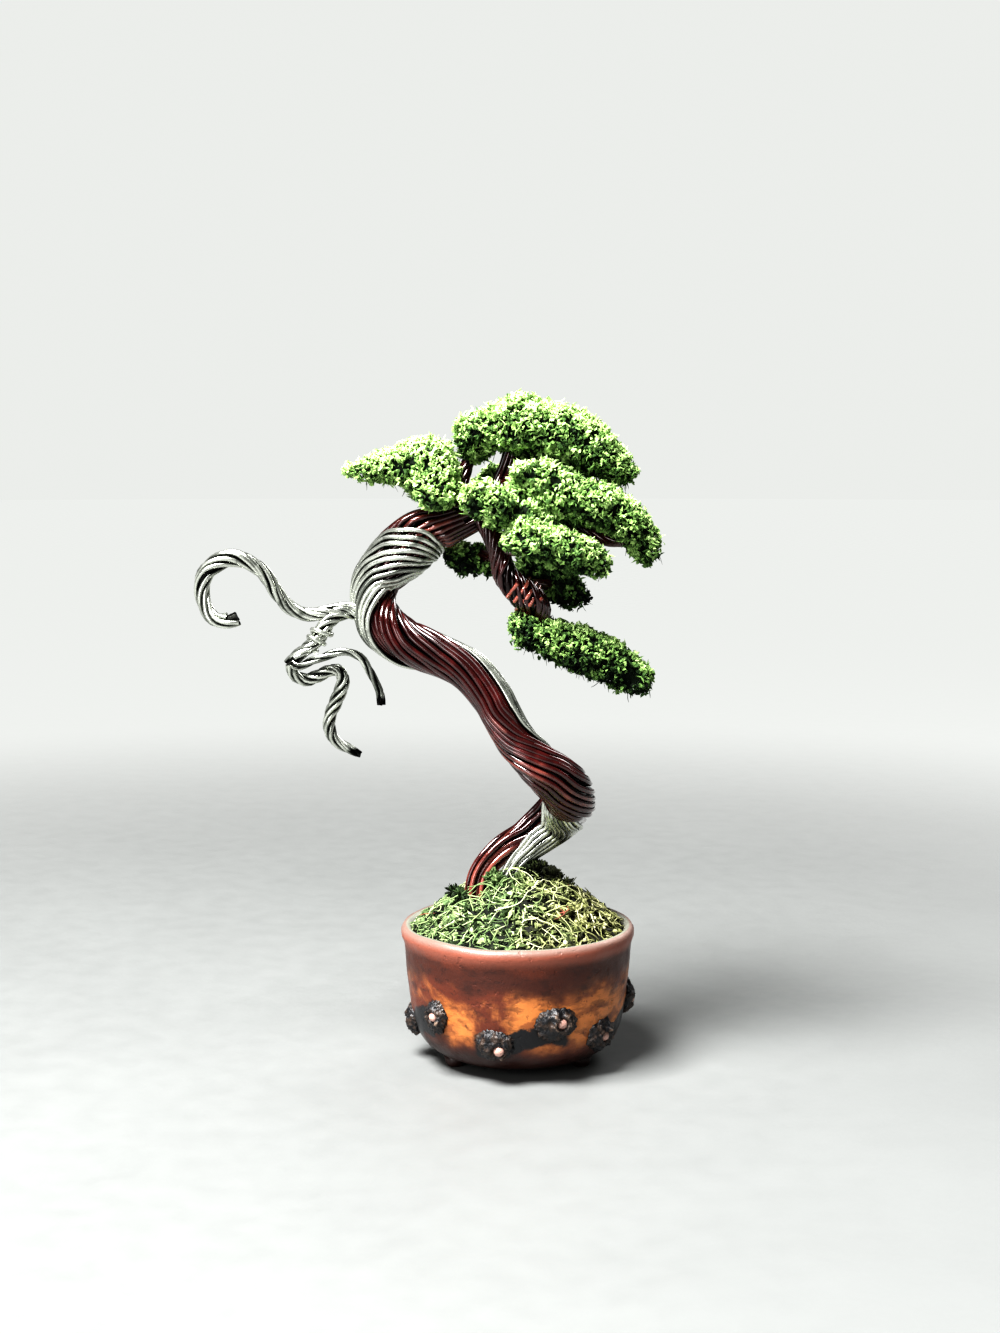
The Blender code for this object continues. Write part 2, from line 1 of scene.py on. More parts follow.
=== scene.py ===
"""Dresses a twisted-wire bonsai: its wires, flock pads, moss mound and studded pot, on a pale stage.

Tables are in millimetres about the pot's axis, as in the model's own source. Everything made
from them is placed in metres in the model's frame.
"""

import math

import bmesh
import bpy
import numpy as np
from mathutils import Matrix, Vector, noise


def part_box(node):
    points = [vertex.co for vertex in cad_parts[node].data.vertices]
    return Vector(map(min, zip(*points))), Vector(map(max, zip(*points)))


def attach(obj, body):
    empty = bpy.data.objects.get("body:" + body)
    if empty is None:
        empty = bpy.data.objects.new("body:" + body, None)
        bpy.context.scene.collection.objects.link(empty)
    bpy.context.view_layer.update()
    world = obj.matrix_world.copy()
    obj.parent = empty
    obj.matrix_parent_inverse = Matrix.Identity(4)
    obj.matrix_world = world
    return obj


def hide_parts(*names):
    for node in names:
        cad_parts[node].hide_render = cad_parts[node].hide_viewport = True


bl_info = {
    "name": "Twisted Wire Bonsai",
    "version": (1, 0, 0),
    "blender": (4, 5, 0),
    "location": "View3D > Sidebar > Bonsai",
    "description": "Makes the wires, flock foliage, moss and glazed pot of a wire bonsai",
    "category": "Object",
}

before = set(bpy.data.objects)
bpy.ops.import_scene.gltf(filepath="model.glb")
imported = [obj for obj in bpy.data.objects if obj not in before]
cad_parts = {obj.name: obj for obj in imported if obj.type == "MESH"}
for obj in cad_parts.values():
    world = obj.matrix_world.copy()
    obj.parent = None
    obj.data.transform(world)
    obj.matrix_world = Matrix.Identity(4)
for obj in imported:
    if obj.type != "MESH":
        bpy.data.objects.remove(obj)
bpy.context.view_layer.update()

MM = 0.001
AXIS = np.array((15.0, -0.16, 0.0))  # the pot's axis in the model's frame

# Trunk: x, y, z, radius of the whole bundle, from between the two legs to the crown.
TRUNK = (
    (-4.5, 0.5, 22.3, 2.5), (-4.2, 1.0, 29.0, 3.0), (-2.0, 2.2, 33.0, 3.1), (1.1, 3.8, 35.5, 3.5),
    (4.0, 4.9, 37.7, 3.9), (6.3, 4.6, 39.7, 4.2), (8.1, 2.6, 41.8, 4.4), (8.7, -0.6, 44.0, 4.4),
    (7.9, -4.0, 46.4, 4.3), (5.8, -6.4, 48.8, 4.1), (3.2, -7.0, 51.2, 3.7), (-0.2, -6.3, 54.7, 3.4),
    (-2.5, -5.6, 58.6, 3.4), (-4.6, -5.0, 62.2, 3.4), (-8.4, -4.0, 66.2, 3.5), (-13.4, -3.0, 68.6, 3.6),
    (-18.5, -2.0, 70.4, 3.9), (-22.3, -1.0, 73.2, 4.1), (-24.0, 0.0, 76.9, 3.8), (-23.4, 0.5, 80.7, 4.1),
    (-21.4, 0.5, 83.2, 4.5), (-18.5, 0.5, 85.8, 4.8), (-15.6, 0.5, 88.1, 4.6), (-12.1, 0.8, 89.6, 3.6),
    (-7.1, 1.0, 91.7, 2.9), (-3.5, 1.5, 94.4, 2.5), (-1.8, 2.0, 98.0, 2.0), (-0.7, 2.0, 102.0, 1.6),
)
LEG_TOP = 3.2  # row of TRUNK where the two legs have become one bundle
# Each leg: sideways offset, radius, row where it begins to open into the bundle, how far it bows out.
BROWN_LEG = (-2.5, 2.15, 1.1, 0.35)
SILVER_LEG = (2.4, 1.5, 0.2, 0.2)

# Silver ribbon: row of TRUNK, angle from the side that faces the front, half width, degrees.
SILVER = (
    (0.0, 55.0, 66.0), (2.0, 48.0, 68.0), (5.0, 45.0, 68.0), (7.0, -56.0, 60.0), (9.0, 195.0, 60.0),
    (10.5, 152.0, 66.0), (11.5, 118.0, 72.0), (12.5, 116.0, 74.0), (14.0, 138.0, 74.0),
    (15.0, 165.0, 74.0), (16.0, 200.0, 76.0), (17.0, 245.0, 80.0), (18.0, 290.0, 84.0),
    (19.0, 325.0, 84.0), (20.0, 352.0, 79.0), (20.9, 385.0, 68.0), (21.5, 425.0, 52.0),
    (21.7, 470.0, 38.0), (21.4, 512.0, 30.0), (20.8, 550.0, 26.0),
)
CURL = 18.5  # row from which the ribbon turns as flat strip does, back on itself
UNDER = (6.4, 7.3, 9.3, 10.4)  # rows over which the ribbon dives under the brown and comes back
# The brown wires turn this far between these rows, degrees.
BROWN_TURNS = ((4.8, 8.8, -125.0), (9.0, 12.5, -110.0))
# How light the brown wires are along the trunk, from wear of the enamel and from painted light: high
# tones give salmon wear and painted highlights, low tones painted shade. Row of TRUNK, tone.
BROWN_WEAR_AND_LIGHT = ((0.0, 0.90), (2.2, 0.74), (3.6, 0.36), (6.0, 0.31), (9.0, 0.43), (12.0, 0.48),
              (14.5, 0.24), (19.0, 0.18), (21.0, 0.60), (22.6, 0.66), (23.6, 0.36), (27.0, 0.30))

# Dead twigs of silver wire: x, y, z, radius. Then strands, wire radius and pitch of the twist.
TWIGS = {
    "hook": (
        (-24.4, -1.6, 76.4, 1.2), (-26.9, -1.0, 76.0, 1.2), (-29.4, -1.5, 75.9, 1.25),
        (-32.1, -2.0, 75.4, 1.2), (-34.9, -2.0, 75.2, 1.2), (-37.7, -2.2, 76.4, 1.2),
        (-39.5, -2.5, 78.6, 1.2), (-41.0, -2.8, 81.1, 1.2), (-43.1, -3.0, 83.2, 1.25),
        (-46.0, -3.0, 84.5, 1.5), (-48.8, -3.0, 84.0, 1.6), (-51.2, -3.0, 82.1, 1.5),
        (-51.9, -3.0, 79.3, 1.3), (-51.3, -3.5, 76.7, 1.25), (-50.0, -4.0, 74.7, 1.25),
        (-48.0, -4.2, 74.3, 1.3), (-46.0, -4.2, 74.9, 1.5),
    ),
    "fork": (
        (-24.4, -1.8, 75.6, 1.3), (-27.0, -1.0, 75.5, 1.3), (-29.1, -1.5, 75.5, 1.4),
        (-31.2, -2.0, 74.1, 1.4), (-32.6, -2.5, 71.8, 1.4), (-33.9, -3.0, 70.2, 1.2),
        (-36.1, -3.0, 68.6, 1.1), (-37.8, -3.0, 66.9, 1.1),
    ),
    "fork_upper": (
        (-37.4, -3.0, 67.2, 0.8), (-36.2, -3.4, 66.7, 0.8), (-33.5, -4.0, 67.7, 0.75),
        (-30.7, -4.0, 68.7, 0.75), (-28.1, -4.0, 69.2, 0.75), (-26.0, -4.0, 68.3, 0.75),
        (-24.7, -4.0, 66.7, 0.75), (-23.7, -4.0, 64.5, 0.75), (-22.7, -4.0, 62.4, 0.75),
        (-22.6, -4.0, 60.4, 0.75),
    ),
    "fork_lower": (
        (-37.6, -3.0, 67.0, 0.9), (-37.0, -2.6, 65.2, 1.0), (-35.2, -2.0, 64.3, 1.1),
        (-33.1, -2.0, 64.9, 1.1), (-30.8, -2.0, 66.0, 1.1), (-29.3, -2.0, 65.5, 1.1),
        (-29.0, -2.0, 63.6, 1.2), (-30.1, -2.0, 60.8, 1.2), (-31.2, -2.0, 58.3, 1.1),
        (-31.3, -2.0, 56.1, 1.1), (-30.5, -2.0, 54.3, 1.0), (-28.6, -2.0, 53.1, 0.9),
        (-26.1, -2.0, 51.9, 0.8),
    ),
}
TWIG_WIRES = {"hook": (6, 0.42, 19.0), "fork": (6, 0.40, 12.0), "fork_upper": (3, 0.37, 13.0),
              "fork_lower": (5, 0.40, 11.0)}

SEEDS = {"trunk": 11, "ribbon": 23, "branches": 5, "twigs": 9}
DIP = 1.9  # how far one wire passes under another, in radii of that one
RIBBON_PART = 0.95  # part of the ribbon's width that lies between its outer wires' lines

# Brown branches: x, y, z, radius, then strands in each.
BRANCHES = {
    "to_left": ((-10.9, 1.0, 90.1, 2.0), (-12.9, 0.0, 92.7, 1.6), (-14.5, -1.0, 95.6, 1.3),
                (-16.1, -1.0, 98.2, 1.1)),
    "to_crown": ((-9.3, 1.0, 90.6, 1.8), (-9.5, 2.0, 93.8, 1.5), (-9.3, 3.0, 97.1, 1.3),
                 (-8.3, 3.8, 100.1, 1.1), (-7.4, 4.0, 102.0, 1.0)),
    "to_right": ((-3.8, 1.5, 93.9, 1.8), (0.3, 0.0, 94.4, 1.6), (5.2, -2.0, 93.9, 1.3),
                 (9.4, -3.0, 92.9, 1.1)),
    "under_right": ((0.3, 0.0, 93.9, 1.3), (5.0, 0.5, 91.0, 1.2), (10.5, -1.0, 89.2, 1.1),
                    (14.6, -2.6, 87.4, 1.0), (17.4, -3.2, 87.2, 0.9), (19.6, -3.2, 87.8, 0.8)),
    "to_centre": ((-2.5, 1.8, 96.3, 1.4), (-0.8, -1.2, 97.4, 1.2), (1.6, -4.2, 98.8, 1.0)),
    "to_front": ((-6.3, 1.0, 91.7, 1.6), (-5.3, -3.0, 91.7, 1.3), (-4.8, -6.5, 92.8, 1.1)),
    "to_back": ((-5.0, 1.2, 92.5, 1.7), (-3.2, 5.5, 93.6, 1.3), (-1.2, 9.5, 95.4, 1.1)),
    "drop": ((-6.6, 0.0, 91.9, 1.6), (-4.6, -1.5, 89.0, 1.8), (-3.2, -2.5, 85.5, 1.8),
             (-1.9, -3.0, 81.4, 2.2), (1.1, -3.0, 78.4, 2.6), (3.2, -2.6, 76.4, 2.2),
             (3.9, -2.0, 74.0, 1.4), (4.4, -2.0, 71.6, 1.1)),
    "to_middle": ((-3.5, -2.0, 86.3, 1.4), (-0.6, -4.0, 86.0, 1.2), (2.8, -6.0, 86.0, 1.1)),
    "to_low_left": ((-3.1, -2.4, 84.9, 1.2), (-4.4, 1.0, 84.7, 1.1), (-7.2, 4.0, 84.5, 1.0)),
    "to_low_back": ((0.3, -2.5, 79.7, 1.3), (3.0, 0.0, 79.8, 1.1), (6.0, 2.5, 79.8, 0.9)),
}
BRANCH_WIRES = {"to_left": 7, "to_crown": 6, "to_right": 6, "drop": 11}
BRANCH_PITCH, BRANCH_THINNER = 15.0, 0.92  # length of a full twist, and size beside the trunk's wires

# Flock pads: painted light, how far each pad's crumbs are coloured lighter, and below 0 darker, for the
# light and shade that fall on it.
PADS = {
    "foliage_left": 0.14, "foliage_crown": 0.08, "foliage_right": 0.05, "foliage_front": 0.08,
    "foliage_middle": 0.02, "foliage_low_left": -0.16, "foliage_low_back": -0.20,
    "foliage_cascade": -0.11, "foliage_back": -0.02,
}

FLOCK_GAP = -0.42  # clump noise below which a pad is bare
STRAY_SHARE = 0.035  # of the crumbs
FIBRES = 0.10  # to each square millimetre of a pad

# Small lumps of flock between the pads: x, y, z, half sizes.
SPRIGS = {
    "foliage_front": ((-1.4, -6.6, 91.6, 2.3, 2.6, 2.3), (-3.7, -7.2, 91.0, 1.9, 2.4, 1.5),
                      (1.0, -7.0, 92.0, 2.0, 2.4, 1.9)),
    "foliage_middle": ((1.2, -7.4, 89.8, 2.6, 2.8, 1.8), (4.4, -6.0, 90.4, 2.2, 2.4, 1.5)),
    "foliage_right": ((0.2, -3.6, 95.6, 2.4, 2.4, 2.6), (4.6, -4.6, 95.9, 2.8, 2.6, 2.4)),
}

# Moss mound: its peak, edge height, radius and fall. Then the hollow round the brown leg: x, y, radius,
# depth. Then rounded tufts: x, y, height over the mound, radius, tone.
MOUND_PEAK = (0.3, 1.5, 31.2)
MOUND_EDGE = 22.3
MOUND_FALL = 1.6
HOLLOW = (-6.6, -2.6, 3.4, 1.9)
MOUND_RADIUS = 17.5
TUFTS = (
    (2.2, 0.2, 0.7, 1.3, 0.16), (4.0, 1.0, 0.9, 1.5, 0.12), (6.0, 0.4, 0.7, 1.5, 0.16),
    (7.9, -0.2, 0.4, 1.2, 0.22), (3.2, 3.6, 0.8, 1.4, 0.30), (-4.0, -0.9, 0.5, 1.4, 0.42),
    (-3.4, -2.2, 0.2, 1.1, 0.50), (-10.4, 1.0, 0.4, 1.2, 0.20), (-9.6, -1.6, 0.2, 1.0, 0.26),
    (0.4, -2.4, 0.2, 1.0, 0.40),
)
# Long strands: x, y, heading, length, tone.
LONG_STRANDS = (
    (-4.6, -10.6, 0.10, 10.5, 0.88), (1.0, -12.2, 0.0, 7.5, 0.80), (6.4, -9.2, -0.2, 4.2, 0.99),
    (6.0, -10.2, 0.1, 4.0, 0.99), (2.0, -5.8, 0.6, 4.5, 0.92), (-7.4, -9.6, 1.2, 6.0, 0.70),
)

LIGHT_SHARE, RED_SHARE = 0.56, 0.012  # of the leaves, and of the strands

# Pot: radius, height, from the middle of the base out, up, over the lip and down inside.
POT_PROFILE = (
    (0.0, 1.25), (6.0, 1.2), (10.8, 1.2), (13.7, 1.8), (15.8, 3.3), (17.2, 5.6), (18.0, 8.8),
    (18.4, 12.0), (18.8, 16.5), (19.1, 19.7), (19.4, 20.7), (19.7, 21.5), (19.6, 22.4),
    (19.05, 23.0), (18.4, 22.9), (17.95, 22.3), (17.7, 21.3), (16.9, 19.9), (16.0, 15.0),
    (16.0, 8.0), (14.8, 4.9), (12.0, 3.4), (6.0, 3.4), (0.0, 3.4),
)
POT_STEPS = 120
FEET = (-30.0, 90.0, 210.0)  # angles
FOOT_CIRCLE = 12.0
# Studs: angle, height, half width, half height, then the bead's place on it.
STUDS = (
    (257.0, 7.1, 3.0, 2.6, 0.9, -0.9), (289.0, 10.5, 3.4, 2.7, 0.8, 0.1),
    (320.0, 7.1, 3.3, 2.8, 0.1, -0.2), (0.0, 10.4, 2.8, 2.8, -0.3, -0.5),
    (37.0, 6.8, 2.7, 2.2, -0.6, -0.5), (74.0, 10.3, 2.6, 2.1, 0.6, -0.4),
    (110.0, 7.0, 2.4, 2.2, 0.4, -0.7), (147.0, 10.2, 2.8, 2.1, -0.5, -0.5),
    (184.0, 6.8, 2.5, 2.6, -0.4, -0.6), (223.0, 10.3, 2.2, 2.7, 0.2, 0.1),
)
ROW_SPLIT = 8.0  # height between the low studs and the high ones
# Radius that a stud stands at, and how far it leans.
LOW_SEAT = (17.35, -0.14)
HIGH_SEAT = (18.1, -0.03)
BEAD_RADIUS, BEAD_LIFT = 0.95, 0.75

# Stage, in metres: the point that the lights face, the camera's place, its pitch down and its lens.
MIDDLE = (0.0, 0.0, 0.07)
CAMERA_PLACE = (0.012, -0.3208, 0.1017)
CAMERA_PITCH = 6.3
CAMERA_LENS = 52.39


def colour_setting(name, about, *default):
    """A colour in a group of settings."""
    return bpy.props.FloatVectorProperty(name=name, description=about, subtype="COLOR", size=4,
                                         default=(*default, 1.0), min=0.0, max=1.0)


def length_setting(name, about, default, low, high):
    """A length in a group of settings, with its default and limits given in millimetres."""
    return bpy.props.FloatProperty(name=name, description=about, unit="LENGTH", default=default * MM,
                                   min=low * MM, max=high * MM, precision=5)


class PotSettings(bpy.types.PropertyGroup):
    """Colours and finish of the pot."""

    clay: colour_setting("Clay red", "Main red-brown of the glaze", 0.125, 0.026, 0.010)
    ochre: colour_setting("Ochre", "Orange patches where the glaze breaks", 0.62, 0.225, 0.060)
    # painted shade under the lip and at the base; the same colour also makes dark patches in the glaze at
    # random
    shade: colour_setting("Shade", "Dark brown under the lip and at the base", 0.022, 0.005, 0.003)
    lip: colour_setting("Lip", "Pale lip where the glaze runs thin", 0.22, 0.140, 0.115)
    slip: colour_setting("Dark slip", "Blue-black slip that joins the studs", 0.006, 0.006, 0.008)
    bead: colour_setting("Beads", "Pale clay beads in the studs", 0.58, 0.36, 0.30)
    unevenness: length_setting("Unevenness", "How far the hand-made wall wanders from round",
                               0.16, 0.0, 1.0)


class WireSettings(bpy.types.PropertyGroup):
    """Sizes and colours of the two wires."""

    brown_radius: length_setting("Brown wire radius", "Radius of one enamelled wire", 0.50, 0.1, 1.0)
    silver_radius: length_setting("Silver wire radius", "Radius of one bare wire", 0.44, 0.1, 1.0)
    brown_count: bpy.props.IntProperty(
        name="Brown wires", description="Wires laid round the trunk", default=20, min=8, max=48)
    silver_count: bpy.props.IntProperty(
        name="Silver wires", description="Wires side by side in the ribbon", default=10, min=4, max=24)
    brown: colour_setting("Enamel", "Maroon enamel of the brown wire", 0.030, 0.004, 0.004)
    # wear and painted highlight: this salmon is painted where the enamel has wear and where highlights
    # fall
    copper_and_highlight: colour_setting("Worn enamel", "Salmon where the enamel is rubbed thin", 0.44, 0.125, 0.090)
    silver: colour_setting("Bare metal", "Pale grey of the bare wire", 0.70, 0.72, 0.65)
    # tarnished grey at random, and painted shade where the wire's tone is low
    tarnish_and_shade: colour_setting("Tarnish", "Dull grey in the wire's tarnish", 0.085, 0.095, 0.08)


class FlockSettings(bpy.types.PropertyGroup):
    """Crumbs of the foliage pads."""

    density: bpy.props.FloatProperty(
        name="Crumbs", description="Crumbs to each square millimetre of a pad",
        default=5.2, min=0.5, max=8.0)
    size: length_setting("Crumb size", "Half the length of a middling crumb", 0.40, 0.1, 2.0)
    seed: bpy.props.IntProperty(name="Seed", description="Lays the crumbs another way", default=7, min=0)


class MossSettings(bpy.types.PropertyGroup):
    """Dried moss on the mound."""

    strands: bpy.props.IntProperty(name="Strands", description="Short curled strands", default=720, min=0)
    long_strands: bpy.props.IntProperty(name="Long strands", description="Strands laid over the rest",
                                        default=34, min=0)
    leaves: bpy.props.IntProperty(name="Leaves", description="Small leaves and chips between them",
                                  default=4600, min=0)
    seed: bpy.props.IntProperty(name="Seed", description="Lays the moss another way", default=3, min=0)


class StageSettings(bpy.types.PropertyGroup):
    """Floor and lights."""

    floor: colour_setting("Floor", "Pale floor", 0.20, 0.205, 0.20)
    backdrop: colour_setting("Backdrop", "Even pale backdrop that the floor runs into", 0.60, 0.61, 0.595)
    room: bpy.props.FloatProperty(name="Room light", description="Strength of the light from all round",
                                  default=0.09, min=0.0)
    key: bpy.props.FloatProperty(name="Overhead light", description="Power of the soft light above",
                                 unit="POWER", default=8.5, min=0.0)
    fill: bpy.props.FloatProperty(name="Front light", description="Power of the soft light in front",
                                  unit="POWER", default=1.1, min=0.0)


SETTINGS = {"bonsai_pot": PotSettings, "bonsai_wire": WireSettings, "bonsai_flock": FlockSettings,
            "bonsai_moss": MossSettings, "bonsai_stage": StageSettings}


# Glaze where it thins under the lip, and the bare clay inside the pot.
NECK = (0.34, 0.110, 0.070, 1.0)
INSIDE = (0.23, 0.23, 0.19, 1.0)
# Colours by tone: place from 0 to 1, colour. The near-black low stops of each ramp are painted shade, and
# the palest flock stops painted light.
FLOCK_GREENS = (
    (0.0, (0.002, 0.004, 0.002)), (0.20, (0.007, 0.020, 0.004)), (0.38, (0.060, 0.125, 0.034)),
    (0.56, (0.180, 0.310, 0.090)), (0.74, (0.35, 0.52, 0.180)), (1.0, (0.58, 0.75, 0.35)),
)
MOSS_GREENS = (
    (0.0, (0.002, 0.003, 0.001)), (0.20, (0.008, 0.014, 0.004)), (0.38, (0.032, 0.060, 0.018)),
    (0.58, (0.130, 0.205, 0.080)), (0.76, (0.330, 0.415, 0.195)), (0.90, (0.680, 0.720, 0.460)),
)
MOSS_YELLOWS = (
    (0.0, (0.003, 0.003, 0.001)), (0.20, (0.014, 0.014, 0.005)), (0.38, (0.055, 0.060, 0.018)),
    (0.58, (0.195, 0.205, 0.072)), (0.76, (0.455, 0.460, 0.225)), (0.90, (0.780, 0.740, 0.500)),
)


# Shader nodes


def add_node(tree, kind, inputs=None, **settings):
    """A node with its settings made, and each input given a value or linked from an output."""
    made = tree.nodes.new(kind)
    for name, value in settings.items():
        setattr(made, name, value)
    for name, value in (inputs or {}).items():
        if isinstance(value, bpy.types.NodeSocket):
            tree.links.new(value, made.inputs[name])
        else:
            made.inputs[name].default_value = value
    return made


def maths(tree, operation, a, b=0.0):
    """The result of one Math node."""
    return add_node(tree, "ShaderNodeMath", {0: a, 1: b}, operation=operation).outputs[0]


def times(tree, a, b):
    """The product of two values."""
    return maths(tree, "MULTIPLY", a, b)


def plus(tree, a, b):
    """The sum of two values."""
    return maths(tree, "ADD", a, b)


def spread(tree, value, low, high):
    """0 below low, 1 above high and a smooth rise between; the other way round where low is higher."""
    return add_node(tree, "ShaderNodeMapRange", {"Value": value, "From Min": low, "From Max": high},
                    interpolation_type="SMOOTHSTEP").outputs["Result"]


def length_of(tree, vector):
    """The length of a vector."""
    return add_node(tree, "ShaderNodeVectorMath", {0: vector}, operation="LENGTH").outputs["Value"]


def mixed(tree, factor, a, b):
    """Two colours mixed by a factor."""
    return add_node(tree, "ShaderNodeMix", {0: factor, 6: a, 7: b}, data_type="RGBA").outputs[2]


def cloudy(tree, vector, scale, detail=4.0, rough=0.55, distortion=0.0):
    """The value of a noise texture."""
    node = add_node(tree, "ShaderNodeTexNoise", {"Vector": vector, "Scale": scale, "Detail": detail,
                                                 "Roughness": rough, "Distortion": distortion})
    return node.outputs["Fac"]


def drift(tree, vector, scale, detail, amount, rough=0.55):
    """A value that wanders about 0, by up to half the amount each way."""
    return times(tree, maths(tree, "SUBTRACT", cloudy(tree, vector, scale, detail, rough), 0.5), amount)


def ramp(tree, value, *stops):
    """A colour from stops of a place and a colour."""
    node = add_node(tree, "ShaderNodeValToRGB", {"Fac": value})
    elements = node.color_ramp.elements
    while len(elements) < len(stops):
        elements.new(0.5)
    for element, (place, colour) in zip(elements, stops):
        element.position = place
        element.color = (*colour, 1.0)
    return node.outputs["Color"]


def effect(name, inputs, outputs):
    """An empty node group with sockets of the given kinds and names, and its input and output nodes."""
    tree = bpy.data.node_groups.new(name, "ShaderNodeTree")
    for in_out, sockets in (("INPUT", inputs), ("OUTPUT", outputs)):
        for kind, labels in sockets.items():
            for label in labels:
                tree.interface.new_socket(label, in_out=in_out, socket_type="NodeSocket" + kind)
    return tree, tree.nodes.new("NodeGroupInput").outputs, tree.nodes.new("NodeGroupOutput").inputs


def mottle_effect():
    """Two colours in soft patches."""
    tree, given, result = effect("mottle", {"Vector": ("Vector",), "Float": ("Scale", "Low", "High"),
                                            "Color": ("Colour", "Patch")}, {"Color": ("Colour",)})
    value = cloudy(tree, given["Vector"], given["Scale"], 6.0, 0.6, 0.4)
    mask = spread(tree, value, given["Low"], given["High"])
    tree.links.new(mixed(tree, mask, given["Colour"], given["Patch"]), result["Colour"])
    return tree


def grit_effect():
    """Fine height and a roughness that wanders."""
    tree, given, result = effect("grit", {"Vector": ("Vector",), "Float": ("Scale", "Smooth", "Rough")},
                                 {"Float": ("Height", "Roughness")})
    fine = cloudy(tree, given["Vector"], given["Scale"], 5.0, 0.65)
    broad = cloudy(tree, given["Vector"], times(tree, given["Scale"], 0.23), 3.0, 0.5)
    height = plus(tree, times(tree, fine, 0.6), times(tree, broad, 0.4))
    rough = add_node(tree, "ShaderNodeMapRange",
                     {"Value": broad, "From Min": 0.3, "From Max": 0.7, "To Min": given["Smooth"],
                      "To Max": given["Rough"]}).outputs["Result"]
    tree.links.new(height, result["Height"])
    tree.links.new(rough, result["Roughness"])
    return tree


def shared(name):
    """The shared effect of that name, made the first time that it is asked for."""
    makers = {"mottle": mottle_effect, "grit": grit_effect}
    return bpy.data.node_groups.get(name) or makers[name]()


def mottle(tree, vector, scale, low, high, colour, patch):
    """The mottle effect placed in a material: its colour."""
    return add_node(tree, "ShaderNodeGroup", {"Vector": vector, "Scale": scale, "Low": low, "High": high,
                                              "Colour": colour, "Patch": patch},
                    node_tree=shared("mottle")).outputs["Colour"]


def grit(tree, vector, scale, smooth, rough):
    """The grit effect placed in a material: its height and its roughness."""
    node = add_node(tree, "ShaderNodeGroup", {"Vector": vector, "Scale": scale, "Smooth": smooth,
                                              "Rough": rough}, node_tree=shared("grit"))
    return node.outputs["Height"], node.outputs["Roughness"]


def new_surface(name, **values):
    """A material with values for its shader, its tree, and object coordinates."""
    made = bpy.data.materials.new(name)
    made.use_nodes = True
    for socket, value in values.items():
        made.node_tree.nodes["Principled BSDF"].inputs[socket.replace("_", " ")].default_value = value
    return made, made.node_tree, made.node_tree.nodes.new("ShaderNodeTexCoord").outputs["Object"]


def finished(made, colour, place, scale, smooth, rough, depth, pits=None, **links):
    """The material given its colour, a roughness that wanders between two values, and grit of that
    scale and depth, in metres, with pits in it."""
    tree = made.node_tree
    height, roughness = grit(tree, place, scale, smooth, rough)
    if pits:
        height = plus(tree, height, pits)
    bump = add_node(tree, "ShaderNodeBump", {"Height": height, "Distance": depth, "Strength": 1.0})
    links.update(Base_Color=colour, Roughness=roughness, Normal=bump.outputs["Normal"])
    for socket, value in links.items():
        tree.links.new(value, tree.nodes["Principled BSDF"].inputs[socket.replace("_", " ")])
    return made


def tone_of(tree):
    """The tone that each wire, crumb or strand carries, which holds painted light and shade as well as
    their own colour.
    """
    return add_node(tree, "ShaderNodeAttribute", attribute_name="tone").outputs["Fac"]


